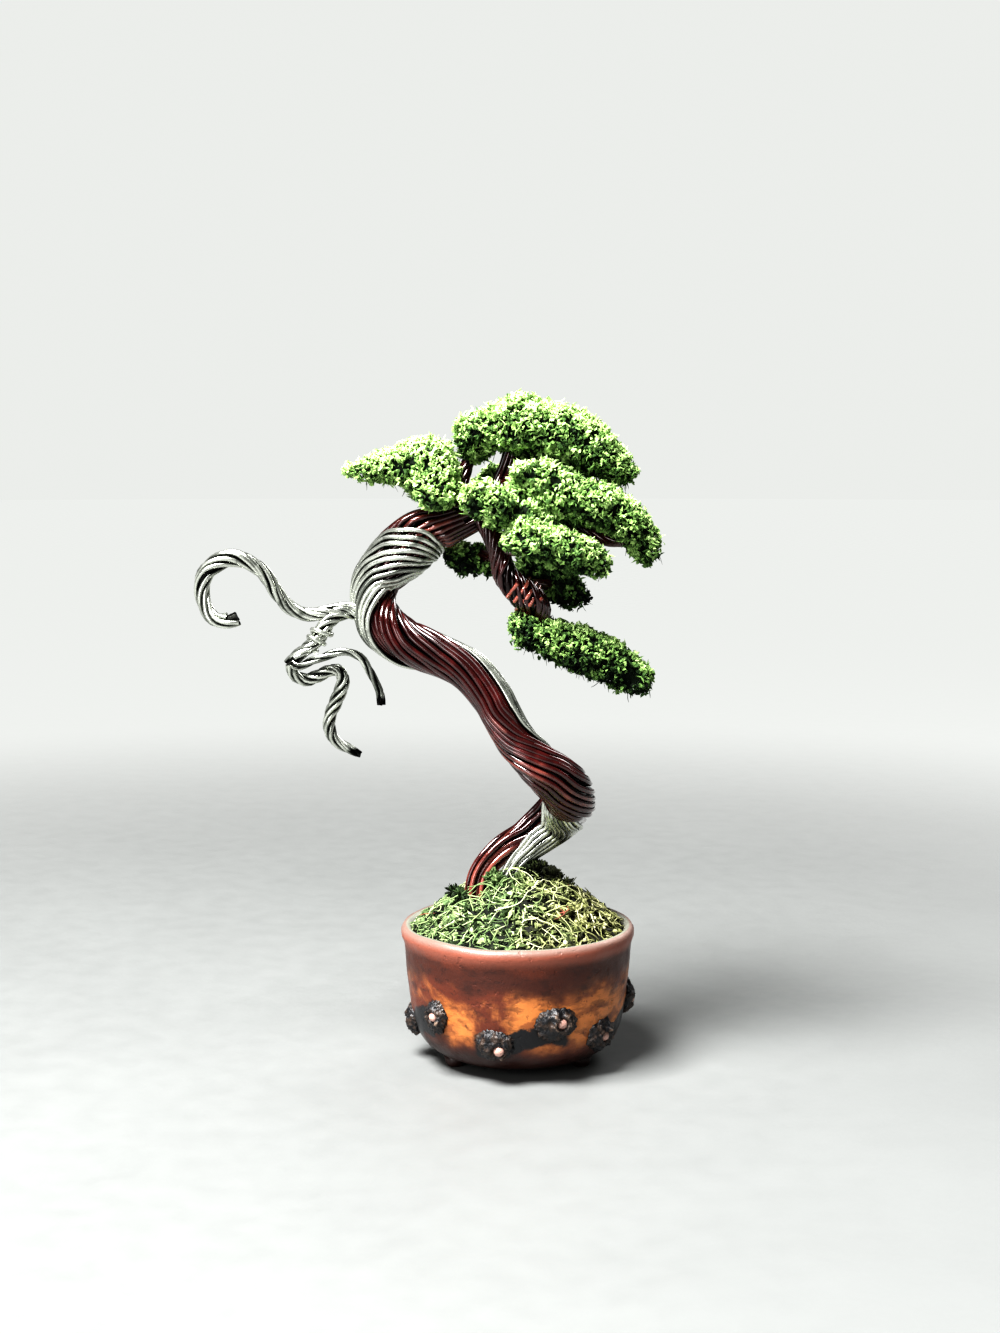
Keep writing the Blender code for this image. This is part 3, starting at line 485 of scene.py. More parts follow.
def glaze_surface(settings):
    """Broken red-brown glaze, ochre in the middle, with painted shade under the lip and at the base, and
    patches of dark slip that join each low stud to the next high one. Heights are in millimetres."""
    made, tree, place = new_surface("pot_glaze", Coat_Weight=0.12, Coat_Roughness=0.25)
    shift = tuple(-AXIS * MM)
    about = add_node(tree, "ShaderNodeMapping", {"Vector": place, "Location": shift}).outputs[0]
    flat = add_node(tree, "ShaderNodeMapping", {"Vector": about, "Scale": (1.0, 1.0, 2.2)}).outputs[0]
    across = add_node(tree, "ShaderNodeSeparateXYZ", {0: about}).outputs
    outward = add_node(tree, "ShaderNodeCombineXYZ", {0: across["X"], 1: across["Y"]}).outputs[0]
    radius, height = times(tree, length_of(tree, outward), 1000.0), times(tree, across["Z"], 1000.0)
    angle = maths(tree, "ARCTAN2", across["Y"], across["X"])
    waver = drift(tree, about, 75.0, 6.0, 11.0, 0.62)
    level = plus(tree, height, waver)

    warm = mottle(tree, about, 62.0, 0.44, 0.58, settings.clay, settings.ochre)
    warm = mottle(tree, flat, 260.0, 0.46, 0.62, warm, mixed(tree, 0.6, warm, settings.clay))
    belly = times(tree, spread(tree, level, 5.0, 9.0), spread(tree, level, 17.5, 13.0))
    colour = mixed(tree, belly, settings.clay, warm)
    colour = mottle(tree, flat, 330.0, 0.50, 0.70, colour, mixed(tree, 0.55, colour, settings.shade))
    colour = mottle(tree, about, 1100.0, 0.58, 0.70, colour, mixed(tree, 0.6, colour, settings.shade))

    # painted shade: the glaze is darkened under the lip and at the base
    under_lip_shade = times(tree, spread(tree, level, 14.2, 16.4), spread(tree, level, 20.4, 18.6))
    base, neck = spread(tree, level, 7.4, 3.4), spread(tree, height, 19.4, 21.2)
    for mask, strength, tint in ((under_lip_shade, 0.55, settings.shade), (base, 0.94, settings.shade),
                                 (neck, 0.75, NECK)):
        colour = mixed(tree, times(tree, mask, strength), colour, tint)
    thin = spread(tree, plus(tree, height, times(tree, waver, 0.06)), 21.6, 22.7)
    colour = mixed(tree, thin, colour, settings.lip)
    inner = maths(tree, "SUBTRACT", radius, times(tree, height, 0.11))
    inside = times(tree, spread(tree, inner, 16.5, 16.1), spread(tree, height, 5.0, 6.0))
    colour = mixed(tree, inside, colour, INSIDE)

    def wave(degrees):
        """Rises once to each pair of studs, with one top at that angle."""
        turned = maths(tree, "SUBTRACT", angle, math.radians(degrees))
        return maths(tree, "COSINE", times(tree, turned, len(STUDS) / 2))

    ragged = drift(tree, about, 170.0, 6.0, 5.0, 0.65)
    middle = plus(tree, times(tree, wave(-71.0), 1.3), 7.6)
    away = maths(tree, "ABSOLUTE", maths(tree, "SUBTRACT", height, middle))
    between = plus(tree, wave(-53.0), times(tree, ragged, 0.12))
    band = spread(tree, plus(tree, away, ragged), 2.4, 1.7)
    band = times(tree, band, spread(tree, between, 0.72, 0.45))
    colour = mixed(tree, times(tree, band, spread(tree, radius, 16.0, 16.6)), colour, settings.slip)

    pits = times(tree, spread(tree, cloudy(tree, about, 700.0, 2.0), 0.62, 0.75), -0.6)
    return finished(made, colour, about, 1500.0, 0.34, 0.58, 0.00012, pits)


def crust_surface(settings):
    """Craggy dark crust of the studs, pale on its high points and round its beads, partly wear and partly
    painted highlight.
    """
    made, tree, place = new_surface("stud_crust", Coat_Weight=0.25, Coat_Roughness=0.3)
    colour = mottle(tree, place, 800.0, 0.45, 0.62, settings.slip, (0.052, 0.032, 0.022, 1.0))
    # wear and painted highlight: a high tone turns the crust pale
    wear_and_painted_light = plus(tree, tone_of(tree), drift(tree, place, 1600.0, 4.0, 0.9))
    colour = mixed(tree, spread(tree, wear_and_painted_light, 0.72, 1.05), colour, (0.27, 0.19, 0.14, 1.0))
    return finished(made, colour, place, 2600.0, 0.28, 0.6, 0.0003)


def bead_surface(settings):
    """Pale bead, faintly stained."""
    made, tree, place = new_surface("bead_clay", Coat_Weight=0.4, Coat_Roughness=0.2)
    colour = mottle(tree, place, 900.0, 0.45, 0.75, settings.bead, (0.24, 0.12, 0.10, 1.0))
    return finished(made, colour, place, 2400.0, 0.3, 0.5, 0.00006)


def enamel_surface(settings):
    """Maroon enamelled wire, salmon where its tone is high, for wear of the enamel and for painted
    highlights, and near black where its tone is low, as painted shade in the grooves and in the dark
    middle wires.
    """
    made, tree, place = new_surface("brown_enamel", Metallic=0.2, Coat_Weight=1.0, Coat_Roughness=0.09)
    tone = tone_of(tree)
    colour = mottle(tree, place, 330.0, 0.4, 0.75, settings.brown, (0.080, 0.010, 0.009, 1.0))
    # wear and painted highlight: a high tone mixes in the salmon colour
    rubbed_and_lit = plus(tree, tone, drift(tree, place, 210.0, 5.0, 0.8))
    colour = mixed(tree, spread(tree, rubbed_and_lit, 0.50, 1.00), colour, settings.copper_and_highlight)
    # painted shade: a low tone turns the enamel near black
    colour = mixed(tree, spread(tree, tone, 0.22, 0.04), colour, (0.004, 0.001, 0.001, 1.0))
    return finished(made, colour, place, 1800.0, 0.13, 0.26, 0.00003,
                    Coat_Weight=spread(tree, tone, 0.03, 0.22))


def bare_surface(settings):
    """Tarnished pale wire, with painted shade in its grooves and in its dark middle wires, where a low
    tone turns it dull grey and then near black, and dark at its cut ends.
    """
    made, tree, place = new_surface("silver_wire", Metallic=0.9)
    tone = tone_of(tree)
    colour = mottle(tree, place, 420.0, 0.44, 0.80, settings.silver, settings.tarnish_and_shade)
    # painted shade: a low tone mixes in the dull grey, as shade in the grooves
    colour = mixed(tree, times(tree, spread(tree, tone, 0.70, 0.36), 0.85), colour, settings.tarnish_and_shade)
    # painted shade: a still lower tone turns the wire near black
    colour = mixed(tree, spread(tree, tone, 0.36, 0.12), colour, (0.004, 0.004, 0.003, 1.0))
    return finished(made, colour, place, 1700.0, 0.16, 0.32, 0.00003)


def flock_surface():
    """Dyed foam crumbs, coloured by their tone from near black in the gaps, as painted shade, to pale
    yellow-green on top, as painted light.
    """
    made, tree, place = new_surface("flock", Specular_IOR_Level=0.25)
    colour = ramp(tree, plus(tree, tone_of(tree), drift(tree, place, 1400.0, 3.0, 0.30)), *FLOCK_GREENS)
    return finished(made, colour, place, 3000.0, 0.75, 0.95, 0.00012)


def moss_surface():
    """Dried moss: near black at a low tone, as painted shade in the gaps, grey-green turning yellow to
    one side, straw and a few red twigs.
    """
    made, tree, place = new_surface("moss", Specular_IOR_Level=0.3)
    tone = tone_of(tree)
    value = plus(tree, tone, drift(tree, place, 900.0, 3.0, 0.16))
    side = add_node(tree, "ShaderNodeSeparateXYZ", {0: place}).outputs["X"]
    turned = spread(tree, plus(tree, side, drift(tree, place, 130.0, 3.0, 0.034)), 0.008, 0.030)
    colour = mixed(tree, turned, ramp(tree, value, *MOSS_GREENS), ramp(tree, value, *MOSS_YELLOWS))
    colour = mixed(tree, spread(tree, tone, 0.955, 0.965), colour, (0.26, 0.085, 0.055, 1.0))
    return finished(made, colour, place, 2600.0, 0.6, 0.9, 0.0001)


def soil_surface():
    """Dark grit of the potting."""
    made, tree, place = new_surface("soil")
    colour = mottle(tree, place, 700.0, 0.45, 0.65,
                    (0.020, 0.017, 0.012, 1.0), (0.075, 0.060, 0.040, 1.0))
    return finished(made, colour, place, 1400.0, 0.8, 0.98, 0.0006)


def floor_surface(settings):
    """Plain pale card with a faint tooth, which glows evenly far off and so has no edge."""
    made, tree, place = new_surface("pale_card", Emission_Color=settings.backdrop)
    shade = tuple(0.94 * part for part in settings.floor[:3]) + (1.0,)
    pale = mottle(tree, place, 14.0, 0.3, 0.7, settings.floor, shade)
    far = spread(tree, length_of(tree, place), 0.10, 0.42)
    pale = mixed(tree, far, pale, (0.0, 0.0, 0.0, 1.0))
    return finished(made, pale, place, 800.0, 0.55, 0.7, 0.00002, Emission_Strength=far)


# Curves and frames along them

PARTS = 20  # points made between two rows of a table
TRUNK_STEP, ROPE_STEP, BINDING_STEP = 0.6, 0.8, 0.25  # millimetres between the points of a wire


def evenly(rows, step):
    """Rows about a step apart on a smooth curve through the given rows, and each one's place
    among them."""
    rows = np.array(rows, float)
    padded = np.vstack((2 * rows[0] - rows[1], rows, 2 * rows[-1] - rows[-2]))
    fine = []
    for a, b, c, d in zip(padded, padded[1:], padded[2:], padded[3:]):
        for t in np.arange(PARTS) / PARTS:
            fine.append(0.5 * (2 * b + (c - a) * t + (2 * a - 5 * b + 4 * c - d) * t**2
                               + (3 * b - a - 3 * c + d) * t**3))
    fine.append(rows[-1])
    fine = np.array(fine)
    places = np.arange(len(fine)) / PARTS
    run = run_length(fine[:, :3])
    wanted = np.linspace(0.0, run[-1], max(2, round(run[-1] / step)) + 1)
    even = np.column_stack([np.interp(wanted, run, column) for column in fine.T])
    return even, np.interp(wanted, run, places)


def run_length(points):
    """Length along a line up to each of its points."""
    return np.concatenate(([0.0], np.cumsum(np.linalg.norm(np.diff(points, axis=0), axis=1))))


def unit(vectors):
    """Rows of vectors brought to a length of 1."""
    return vectors / np.linalg.norm(vectors, axis=1)[:, None]


def carried_frames(centres):
    """Tangents and two crossing directions, carried along a line without twist."""
    tangents = unit(np.gradient(centres, axis=0))
    first = np.cross(tangents[0], (0.0, 1.0, 0.3))
    firsts = []
    for tangent in tangents:
        first = first - tangent * first.dot(tangent)
        first /= np.linalg.norm(first)
        firsts.append(first)
    firsts = np.array(firsts)
    return tangents, firsts, np.cross(tangents, firsts)


def front_angles(frames):
    """The angle, in each carried frame, of the direction that faces the front."""
    tangents, firsts, seconds = frames
    front = np.array((0.0, -1.0, 0.0))
    front = front - tangents * (tangents @ front)[:, None]
    return np.arctan2((front * seconds).sum(axis=1), (front * firsts).sum(axis=1))


def ribbon_line(course):
    """The silver ribbon's middle line as fine rows: place, angle in the trunk's frame, half width in
    millimetres, and the direction across it in place and angle for each millimetre."""
    centres, radii, places, frames = course
    fronts = front_angles(frames)
    keys = []
    for place, angle, half in SILVER:
        wanted = math.radians(angle) + fronts[int(np.argmin(np.abs(places - place)))]
        if keys:
            wanted -= 2 * math.pi * round((wanted - keys[-1][1]) / (2 * math.pi))
        keys.append((place, wanted, math.radians(half)))
    keys = np.array(keys)
    steps = np.linspace(0.0, len(keys) - 1.0, 260)
    place, angle, half = (np.interp(steps, np.arange(len(keys)), column) for column in keys.T)
    kernel = np.ones(9) / 9
    place, angle, half = (np.convolve(np.pad(row, 4, mode="edge"), kernel, "valid")
                          for row in (place, angle, half))
    place[:5] = np.linspace(0.0, place[5], 5, endpoint=False)
    radius = np.interp(place, places, radii)
    pace = np.interp(place, places, np.gradient(run_length(centres), places))
    along, around = np.gradient(place) * pace, np.gradient(angle) * radius
    length = np.hypot(along, around)
    flat = eased(np.maximum.accumulate(place), CURL, CURL + 1.5)
    across = np.column_stack((-flat * around / length / pace,
                              (1.0 - flat + flat * along / length) / radius))
    return place, angle, half * radius, across


def trunk_at(course, wanted):
    """Centres, radii and frames of the trunk at any places among its rows."""
    centres, radii, places, frames = course
    made = [np.column_stack([np.interp(wanted, places, column) for column in part.T])
            for part in (centres, *frames)]
    return made[0], np.interp(wanted, places, radii), tuple(made[1:])


def laid(centres, frames, reach, angle):
    """A line that runs at a reach and an angle from a bundle's own line."""
    _, firsts, seconds = frames
    sideways, onward = (reach * np.cos(angle))[:, None], (reach * np.sin(angle))[:, None]
    return centres + firsts * sideways + seconds * onward


def eased(values, low, high):
    """0 below low and 1 above high, with a smooth rise."""
    t = np.clip((values - low) / (high - low), 0.0, 1.0)
    return t * t * (3 - 2 * t)


# Meshes

CUT_END = 1.1  # length of the dark end of a cut wire, millimetres
# painted shade: the dark tone given to what lies under flock and moss
PAINTED_SHADE_TONE = 0.06  # tone of what lies under flock and moss


def object_from(mesh, name, surface):
    """A piece of the object from a mesh."""
    made = bpy.data.objects.new(name, mesh)
    bpy.context.scene.collection.objects.link(made)
    if surface:
        mesh.materials.append(surface)
    return made


def mesh_from(bm, name, smooth=True):
    """The bmesh, made in millimetres about the pot's axis, as a mesh in its place."""
    bmesh.ops.translate(bm, verts=bm.verts, vec=AXIS)
    bmesh.ops.scale(bm, verts=bm.verts, vec=(MM, MM, MM))
    bmesh.ops.recalc_face_normals(bm, faces=bm.faces)
    for face in bm.faces:
        face.smooth = smooth
    mesh = bpy.data.meshes.new(name)
    bm.to_mesh(mesh)
    bm.free()
    return mesh


def set_tone(mesh, tone):
    """Gives a mesh its tone, one value or one to a vertex."""
    layer = mesh.attributes.new("tone", "FLOAT", "POINT")
    values = np.broadcast_to(np.asarray(tone, np.float32), len(mesh.vertices))
    layer.data.foreach_set("value", values.copy())


def tube(points, radii, depth, facets):
    """The mesh of a round tube along points, closed at its ends."""
    curve = bpy.data.curves.new("tube", "CURVE")
    curve.dimensions = "3D"
    curve.bevel_depth = depth
    curve.bevel_resolution = facets
    curve.use_fill_caps = True
    line = curve.splines.new("POLY")
    line.points.add(len(points) - 1)
    line.points.foreach_set("co", np.column_stack((points, np.ones(len(points)))).ravel())
    line.points.foreach_set("radius", np.broadcast_to(np.asarray(radii, float), len(points)).copy())
    line.use_smooth = True
    holder = bpy.data.objects.new("tube", curve)
    mesh = bpy.data.meshes.new_from_object(holder)
    bpy.data.objects.remove(holder)
    return mesh


def wire(path, radius, tone, facets=2, middle=None, end_tone=None):
    """One round wire along a path. Its tone is made darker on the side that faces the middle line of its
    bundle, as painted shade in the grooves between wires.
    """
    places = (np.asarray(path) + AXIS) * MM
    mesh = tube(places, radius, MM, facets)
    points = np.empty(len(mesh.vertices) * 3)
    mesh.vertices.foreach_get("co", points)
    sides = len(mesh.vertices) // (len(path) + 2)
    row = np.repeat(np.concatenate(([len(path) - 1, 0], np.arange(len(path)))), sides)
    tones = np.broadcast_to(np.asarray(tone, float), len(path))[row].copy()
    if middle is not None:
        from_middle = points.reshape(-1, 3) - places[row]
        out = np.asarray(path) - middle
        out /= np.linalg.norm(out, axis=1)[:, None] + 1e-6
        facing = (from_middle * out[row]).sum(axis=1) / (np.linalg.norm(from_middle, axis=1) + 1e-12)
        # painted shade: the side that faces the bundle's middle gets a lower tone
        tones *= 0.05 + 0.95 * eased(facing, -0.15, 0.85)
    if end_tone is not None:
        run = run_length(path)
        tones[(run[-1] - run < CUT_END)[row]] = end_tone
    set_tone(mesh, tones)
    return object_from(mesh, "wire", None)


def joined(name, objects, surface):
    """Many objects made one, with one material."""
    with bpy.context.temp_override(active_object=objects[0], object=objects[0],
                                   selected_objects=objects, selected_editable_objects=objects):
        bpy.ops.object.join()
    made = objects[0]
    made.name = name
    made.data.name = name
    made.data.materials.clear()
    made.data.materials.append(surface)
    return made


def wobble(count, amount, rng, knots=9):
    """A gentle random wander along a wire."""
    return np.interp(np.linspace(0, knots - 1, count), np.arange(knots), rng.normal(0.0, amount, knots))


def rope(rows, strands, radius, pitch, tone, rng, end_tone=None):
    """Wires twisted round each other along rows, with one down the middle whose dark tone is painted
    shade between them.
    """
    even, _ = evenly(rows, ROPE_STEP)
    centres = even[:, :3]
    frames = carried_frames(centres)
    turn = 2 * math.pi * run_length(centres) / pitch
    shade_core = np.maximum(even[:, 3] - radius * 1.2, radius * 0.5)
    made = [wire(centres, shade_core, tone * 0.2, 1, end_tone=end_tone)]
    for k in range(strands):
        reach = np.maximum(even[:, 3] - radius, radius * 0.55) + wobble(len(even), 0.05, rng)
        angle = turn + 2 * math.pi * k / strands + wobble(len(even), 0.16, rng)
        last = len(even) - rng.integers(0, 3)
        path = laid(centres, frames, reach, angle)[:last]
        made.append(wire(path, radius, tone + rng.normal(0.0, 0.10), 2, centres[:last], end_tone))
    return made


def trunk_course():
    """The trunk's line, radii, places among its rows and frames."""
    even, places = evenly(TRUNK, TRUNK_STEP)
    return even[:, :3], even[:, 3], places, carried_frames(even[:, :3])


def into_leg(centres, frames, places, lines, leg, ring, angle):
    """Draws lines out of the bundle into a round leg that stands to one side of it, and gives that
    side's own middle line too."""
    offset, _, opening, bow = leg
    _, firsts, seconds = frames
    front = front_angles(frames) + math.pi / 2
    side = firsts * np.cos(front)[:, None] + seconds * np.sin(front)[:, None]
    round_leg = laid(centres, frames, ring, angle) + side * offset
    blend = np.clip((places - opening) / (LEG_TOP - opening), 0.0, 1.0)[:, None] ** 1.2
    apart = side * offset * bow * blend**2 * (1 - blend)
    legs = places[:, None] < LEG_TOP
    middle = np.where(legs, centres + side * offset * (1 - blend) + apart, centres)
    return np.where(legs, round_leg * (1 - blend) + lines * blend + apart, lines), middle


def covered(course, ribbon, places, angles):
    """How far the silver ribbon lies over each point of the trunk, from 0 to 1."""
    place, angle, half, _ = ribbon
    centres, radii, rows, _ = course
    run = run_length(centres)
    radius = np.interp(places, rows, radii)
    along = np.interp(places, rows, run)[:, None] - np.interp(place, rows, run)[None]
    turn = (angles[:, None] - angle[None] + math.pi) % (2 * math.pi) - math.pi
    gap = (np.hypot(along, turn * radius[:, None]) - half[None])[:, :-25].min(axis=1)
    return 1.0 - eased(gap, 0.1, 1.3)


def brown_wires(settings):
    """The brown wires of the trunk, which pass under the silver ribbon."""
    rng = np.random.default_rng(SEEDS["trunk"])
    radius, silver = settings.brown_radius / MM, settings.silver_radius / MM
    course = trunk_course()
    centres, radii, places, frames = course
    ribbon = ribbon_line(course)
    onward = places <= CURL
    middles = np.interp(places, ribbon[0][:200], ribbon[1][:200])
    end = BROWN_TURNS[-1][1]
    above = np.where(onward, middles, np.interp(CURL, places, middles))
    above -= np.interp(end, places, middles)
    turn = np.where(places > end, above, 0.0)
    for start, stop, degrees in BROWN_TURNS:
        turn += math.radians(degrees) * eased(places, start, stop)
    over = 1.0 - eased(places, UNDER[0], UNDER[1]) + eased(places, UNDER[2], UNDER[3])
    inner = np.maximum(radii - 1.55, 0.7)
    spacing = 2 * math.pi * (radii - radius) / settings.brown_count
    crowded = np.clip(1.0 - spacing / (2 * radius), 0.0, 0.6)
    cored = places > LEG_TOP - 0.4
    # painted shade: a near-black wire fills the middle of the trunk's bundle
    made = [wire(centres[cored], inner[cored], 0.05, 3)]
    for j in range(settings.brown_count):
        angle = turn + 2 * math.pi * j / settings.brown_count + wobble(len(places), 0.06, rng, 14)
        beneath = over * covered(course, ribbon, places, angle)
        reach = radii - radius - beneath * silver * DIP + wobble(len(places), 0.09, rng, 18)
        reach -= crowded * radius * (1.5 if j % 2 else 0.0)
        lines = laid(centres, frames, reach, angle)
        ring = np.full(len(places), BROWN_LEG[1] - radius if j % 3 == 0 else 0.5)
        lines, middle = into_leg(centres, frames, places, lines, BROWN_LEG, ring, angle)
        kept = places <= (27.0 if j % 3 == 0 else 23.0 + 2.0 * rng.random())
        # wear, painted light and painted shade: each wire's tone along the trunk
        wear_and_painted_light = np.interp(places, *np.transpose(BROWN_WEAR_AND_LIGHT)) + rng.normal(0.0, 0.12)
        made.append(wire(lines[kept], radius, wear_and_painted_light[kept], 2, middle[kept]))
    return made


def silver_wires(settings):
    """The silver ribbon, from its leg to where it turns round the bend and tucks in behind."""
    rng = np.random.default_rng(SEEDS["ribbon"])
    radius, brown = settings.silver_radius / MM, settings.brown_radius / MM
    course = trunk_course()
    place, angle, half, aside = ribbon_line(course)
    count = settings.silver_count
    spacing = 2 * RIBBON_PART * half / (count - 1)
    crowded = np.clip(1.0 - spacing / (2 * radius), 0.0, 0.8)
    under = eased(place, UNDER[0], UNDER[1]) - eased(place, UNDER[2], UNDER[3])
    tucked = eased(np.arange(len(place)), len(place) - 30, len(place) - 8)
    made = []
    for k in range(count):
        across = (2.0 * k / (count - 1) - 1.0) * half * RIBBON_PART + wobble(len(place), 0.13, rng, 22)
        places, angles = place + across * aside[:, 0], angle + across * aside[:, 1]
        centres, radii, frames = trunk_at(course, places)
        reach = radii - radius - under * brown * DIP + wobble(len(place), 0.08, rng, 22)
        reach -= crowded * radius * (1.6 if k % 2 else 0.0) + 1.5 * tucked
        lines = laid(centres, frames, reach, angles)
        ring = np.full(len(place), SILVER_LEG[1] - radius if k % 2 == 0 else 0.15)
        spread_out = angle + 2.9 * (2.0 * k / (count - 1) - 1.0)
        lines, middle = into_leg(centres, frames, places, lines, SILVER_LEG, ring, spread_out)
        made.append(wire(lines, radius, 0.80 + rng.normal(0.0, 0.12), 2, middle))
    return made


def binding(rows, at, turns, reach, radius, tone):
    """A wire wound round a branch, from one place among its rows to another."""
    even, places = evenly(rows, BINDING_STEP)
    chosen = (places >= at[0]) & (places <= at[1])
    frames = carried_frames(even[:, :3])
    angle = 2 * math.pi * turns * (places - at[0]) / (at[1] - at[0])
    return wire(laid(even[:, :3], frames, even[:, 3] + reach, angle)[chosen], radius, tone)


# Scattered crumbs, leaves and strands

CRUMB_STRETCHES = ((1.1, 0.75, 0.45), (1.3, 0.6, 0.4), (0.9, 0.8, 0.5), (1.5, 0.45, 0.36),
                   (1.2, 0.85, 0.32), (1.35, 0.52, 0.42), (0.8, 0.7, 0.55))
STRAND_KINDS, STRAND_DEPTH = 5, 0.14
STRAND_RADII = (0.5, 0.9, 1.0, 1.0, 0.8, 0.35)  # parts of the depth, along a strand


def crumb_shapes(rng):
    """A few crumpled and curled flakes."""
    made = []
    for stretch in CRUMB_STRETCHES:
        bm = bmesh.new()
        bmesh.ops.create_icosphere(bm, subdivisions=1, radius=1.0)
        for vert in bm.verts:
            vert.co *= 1.0 + rng.uniform(-0.45, 0.45)
        bmesh.ops.scale(bm, verts=bm.verts, vec=stretch)
        curl = rng.uniform(0.35, 0.75)
        for vert in bm.verts:
            vert.co.z += curl * (vert.co.x**2 - 0.5) + 0.3 * vert.co.y * vert.co.x
        made.append(arrays_of(bm))
    return made


def strand_shapes(rng):
    """A few thin curled strands, one unit long each way."""
    made = []
    t = np.linspace(-1.0, 1.0, len(STRAND_RADII))
    for _ in range(STRAND_KINDS):
        bend = rng.uniform(-0.9, 0.9, 3)
        path = np.column_stack((t, bend[0] * 0.45 * (t**2 - 0.4) + bend[1] * 0.25 * np.sin(3 * t),
                                0.22 * bend[2] * (1 - t**2)))
        bm = bmesh.new()
        bm.from_mesh(tube(path, STRAND_RADII, STRAND_DEPTH, 0))
        bmesh.ops.remove_doubles(bm, verts=bm.verts, dist=1e-5)
        made.append(arrays_of(bm))
    return made


def arrays_of(bm):
    """Points and triangles of a small closed shape."""
    bmesh.ops.triangulate(bm, faces=bm.faces)
    bmesh.ops.recalc_face_normals(bm, faces=bm.faces)
    bm.verts.ensure_lookup_table()
    points = np.array([vert.co for vert in bm.verts])
    faces = np.array([[vert.index for vert in face.verts] for face in bm.faces])
    bm.free()
    return points, faces


def bases(axes, rng):
    """For each axis, three crossing directions that start with it, turned at random about it."""
    axes = unit(axes)
    other = unit(np.cross(axes, rng.normal(size=axes.shape)))
    return np.stack((axes, other, np.cross(axes, other)), axis=2)


def lying(normals, tilt, rng):
    """Directions that lie along a surface, each tilted a little out of it."""
    flat = np.cross(normals, rng.normal(size=normals.shape))
    return flat + normals * rng.normal(0.0, tilt, (len(normals), 1))


def scattered(name, shapes, places, turns, sizes, tones, rng, smooth=False):
    """One mesh of many small copies, each of a shape picked at random."""
    picks = rng.integers(0, len(shapes), len(places))
    points, faces, tone, start = [], [], [], 0
    for index, (shape, corners) in enumerate(shapes):
        chosen = picks == index
        moved = np.einsum("nij,nvj->nvi", turns[chosen], shape[None] * sizes[chosen][:, None, :])
        moved += places[chosen][:, None, :]
        count = int(chosen.sum())
        firsts = start + np.arange(count) * len(shape)
        points.append(moved.reshape(-1, 3))
        faces.append((corners[None] + firsts[:, None, None]).reshape(-1, 3))
        tone.append(np.repeat(tones[chosen], len(shape)))
        start += count * len(shape)
    points, faces = np.concatenate(points), np.concatenate(faces)
    mesh = bpy.data.meshes.new(name)
    mesh.vertices.add(len(points))
    mesh.vertices.foreach_set("co", points.astype(np.float32).ravel())
    mesh.loops.add(faces.size)
    mesh.loops.foreach_set("vertex_index", faces.astype(np.int32).ravel())
    mesh.polygons.add(len(faces))
    mesh.polygons.foreach_set("loop_start", np.arange(0, faces.size, 3, dtype=np.int32))
    mesh.polygons.foreach_set("use_smooth", np.full(len(faces), smooth))
    mesh.update(calc_edges=True)
    set_tone(mesh, np.concatenate(tone))
    return mesh


def node_triangles(node):
    """Corners of a CAD node's triangles, in metres."""
    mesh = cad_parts[node].data
    mesh.calc_loop_triangles()
    points = np.empty(len(mesh.vertices) * 3, np.float32)
    mesh.vertices.foreach_get("co", points)
    faces = np.empty(len(mesh.loop_triangles) * 3, np.int32)
    mesh.loop_triangles.foreach_get("vertices", faces)
    return points.reshape(-1, 3).astype(float)[faces.reshape(-1, 3)]


def crossings(corners):
    """For each triangle, a vector square to it, and that vector's length, which is twice the area."""
    crossed = np.cross(corners[:, 1] - corners[:, 0], corners[:, 2] - corners[:, 0])
    return crossed, np.linalg.norm(crossed, axis=1)


def sampled(corners, count, rng):
    """Random points spread evenly over triangles, and the normals there."""
    crossed, area = crossings(corners)
    keep = area > 0
    corners, crossed, area = corners[keep], crossed[keep], area[keep]
    picked = rng.choice(len(area), count, p=area / area.sum())
    a, b = rng.random(count), rng.random(count)
    flip = a + b > 1
    a, b = np.where(flip, 1 - a, a), np.where(flip, 1 - b, b)
    first, second, third = (corners[picked, corner] for corner in range(3))
    points = first + (second - first) * a[:, None] + (third - first) * b[:, None]
    return points, crossed[picked] / area[picked][:, None]


def lump(x, y, z, *half):
    """An egg-shaped lump."""
    bm = bmesh.new()
    bmesh.ops.create_icosphere(bm, subdivisions=2, radius=1.0,
                               matrix=Matrix.Translation((x, y, z)) @ Matrix.Diagonal((*half, 1.0)))
    return bm


def soft_noise(points, scale, seed):
    """Smooth noise, from -1 to 1, at each point."""
    shift = Vector((seed * 7.3, seed * 3.1, seed * 1.7))
    return np.array([noise.noise(Vector(point) * scale + shift) for point in points])


def shrunk_copy(node, name, by, smoothing):
    """A node's mesh merged, smoothed and drawn in, for the inside of a pad, its dark tone painted shade.
    """
    bm = bmesh.new()
    bm.from_mesh(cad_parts[node].data)
    bmesh.ops.remove_doubles(bm, verts=bm.verts, dist=1e-6)
    for _ in range(smoothing):
        bmesh.ops.smooth_vert(bm, verts=bm.verts, factor=0.5, use_axis_x=True, use_axis_y=True,
                              use_axis_z=True)
    bm.normal_update()
    for vert in bm.verts:
        vert.co -= vert.normal * by * MM
    mesh = bpy.data.meshes.new(name)
    bm.to_mesh(mesh)
    bm.free()
    set_tone(mesh, PAINTED_SHADE_TONE)
    return object_from(mesh, name, None)


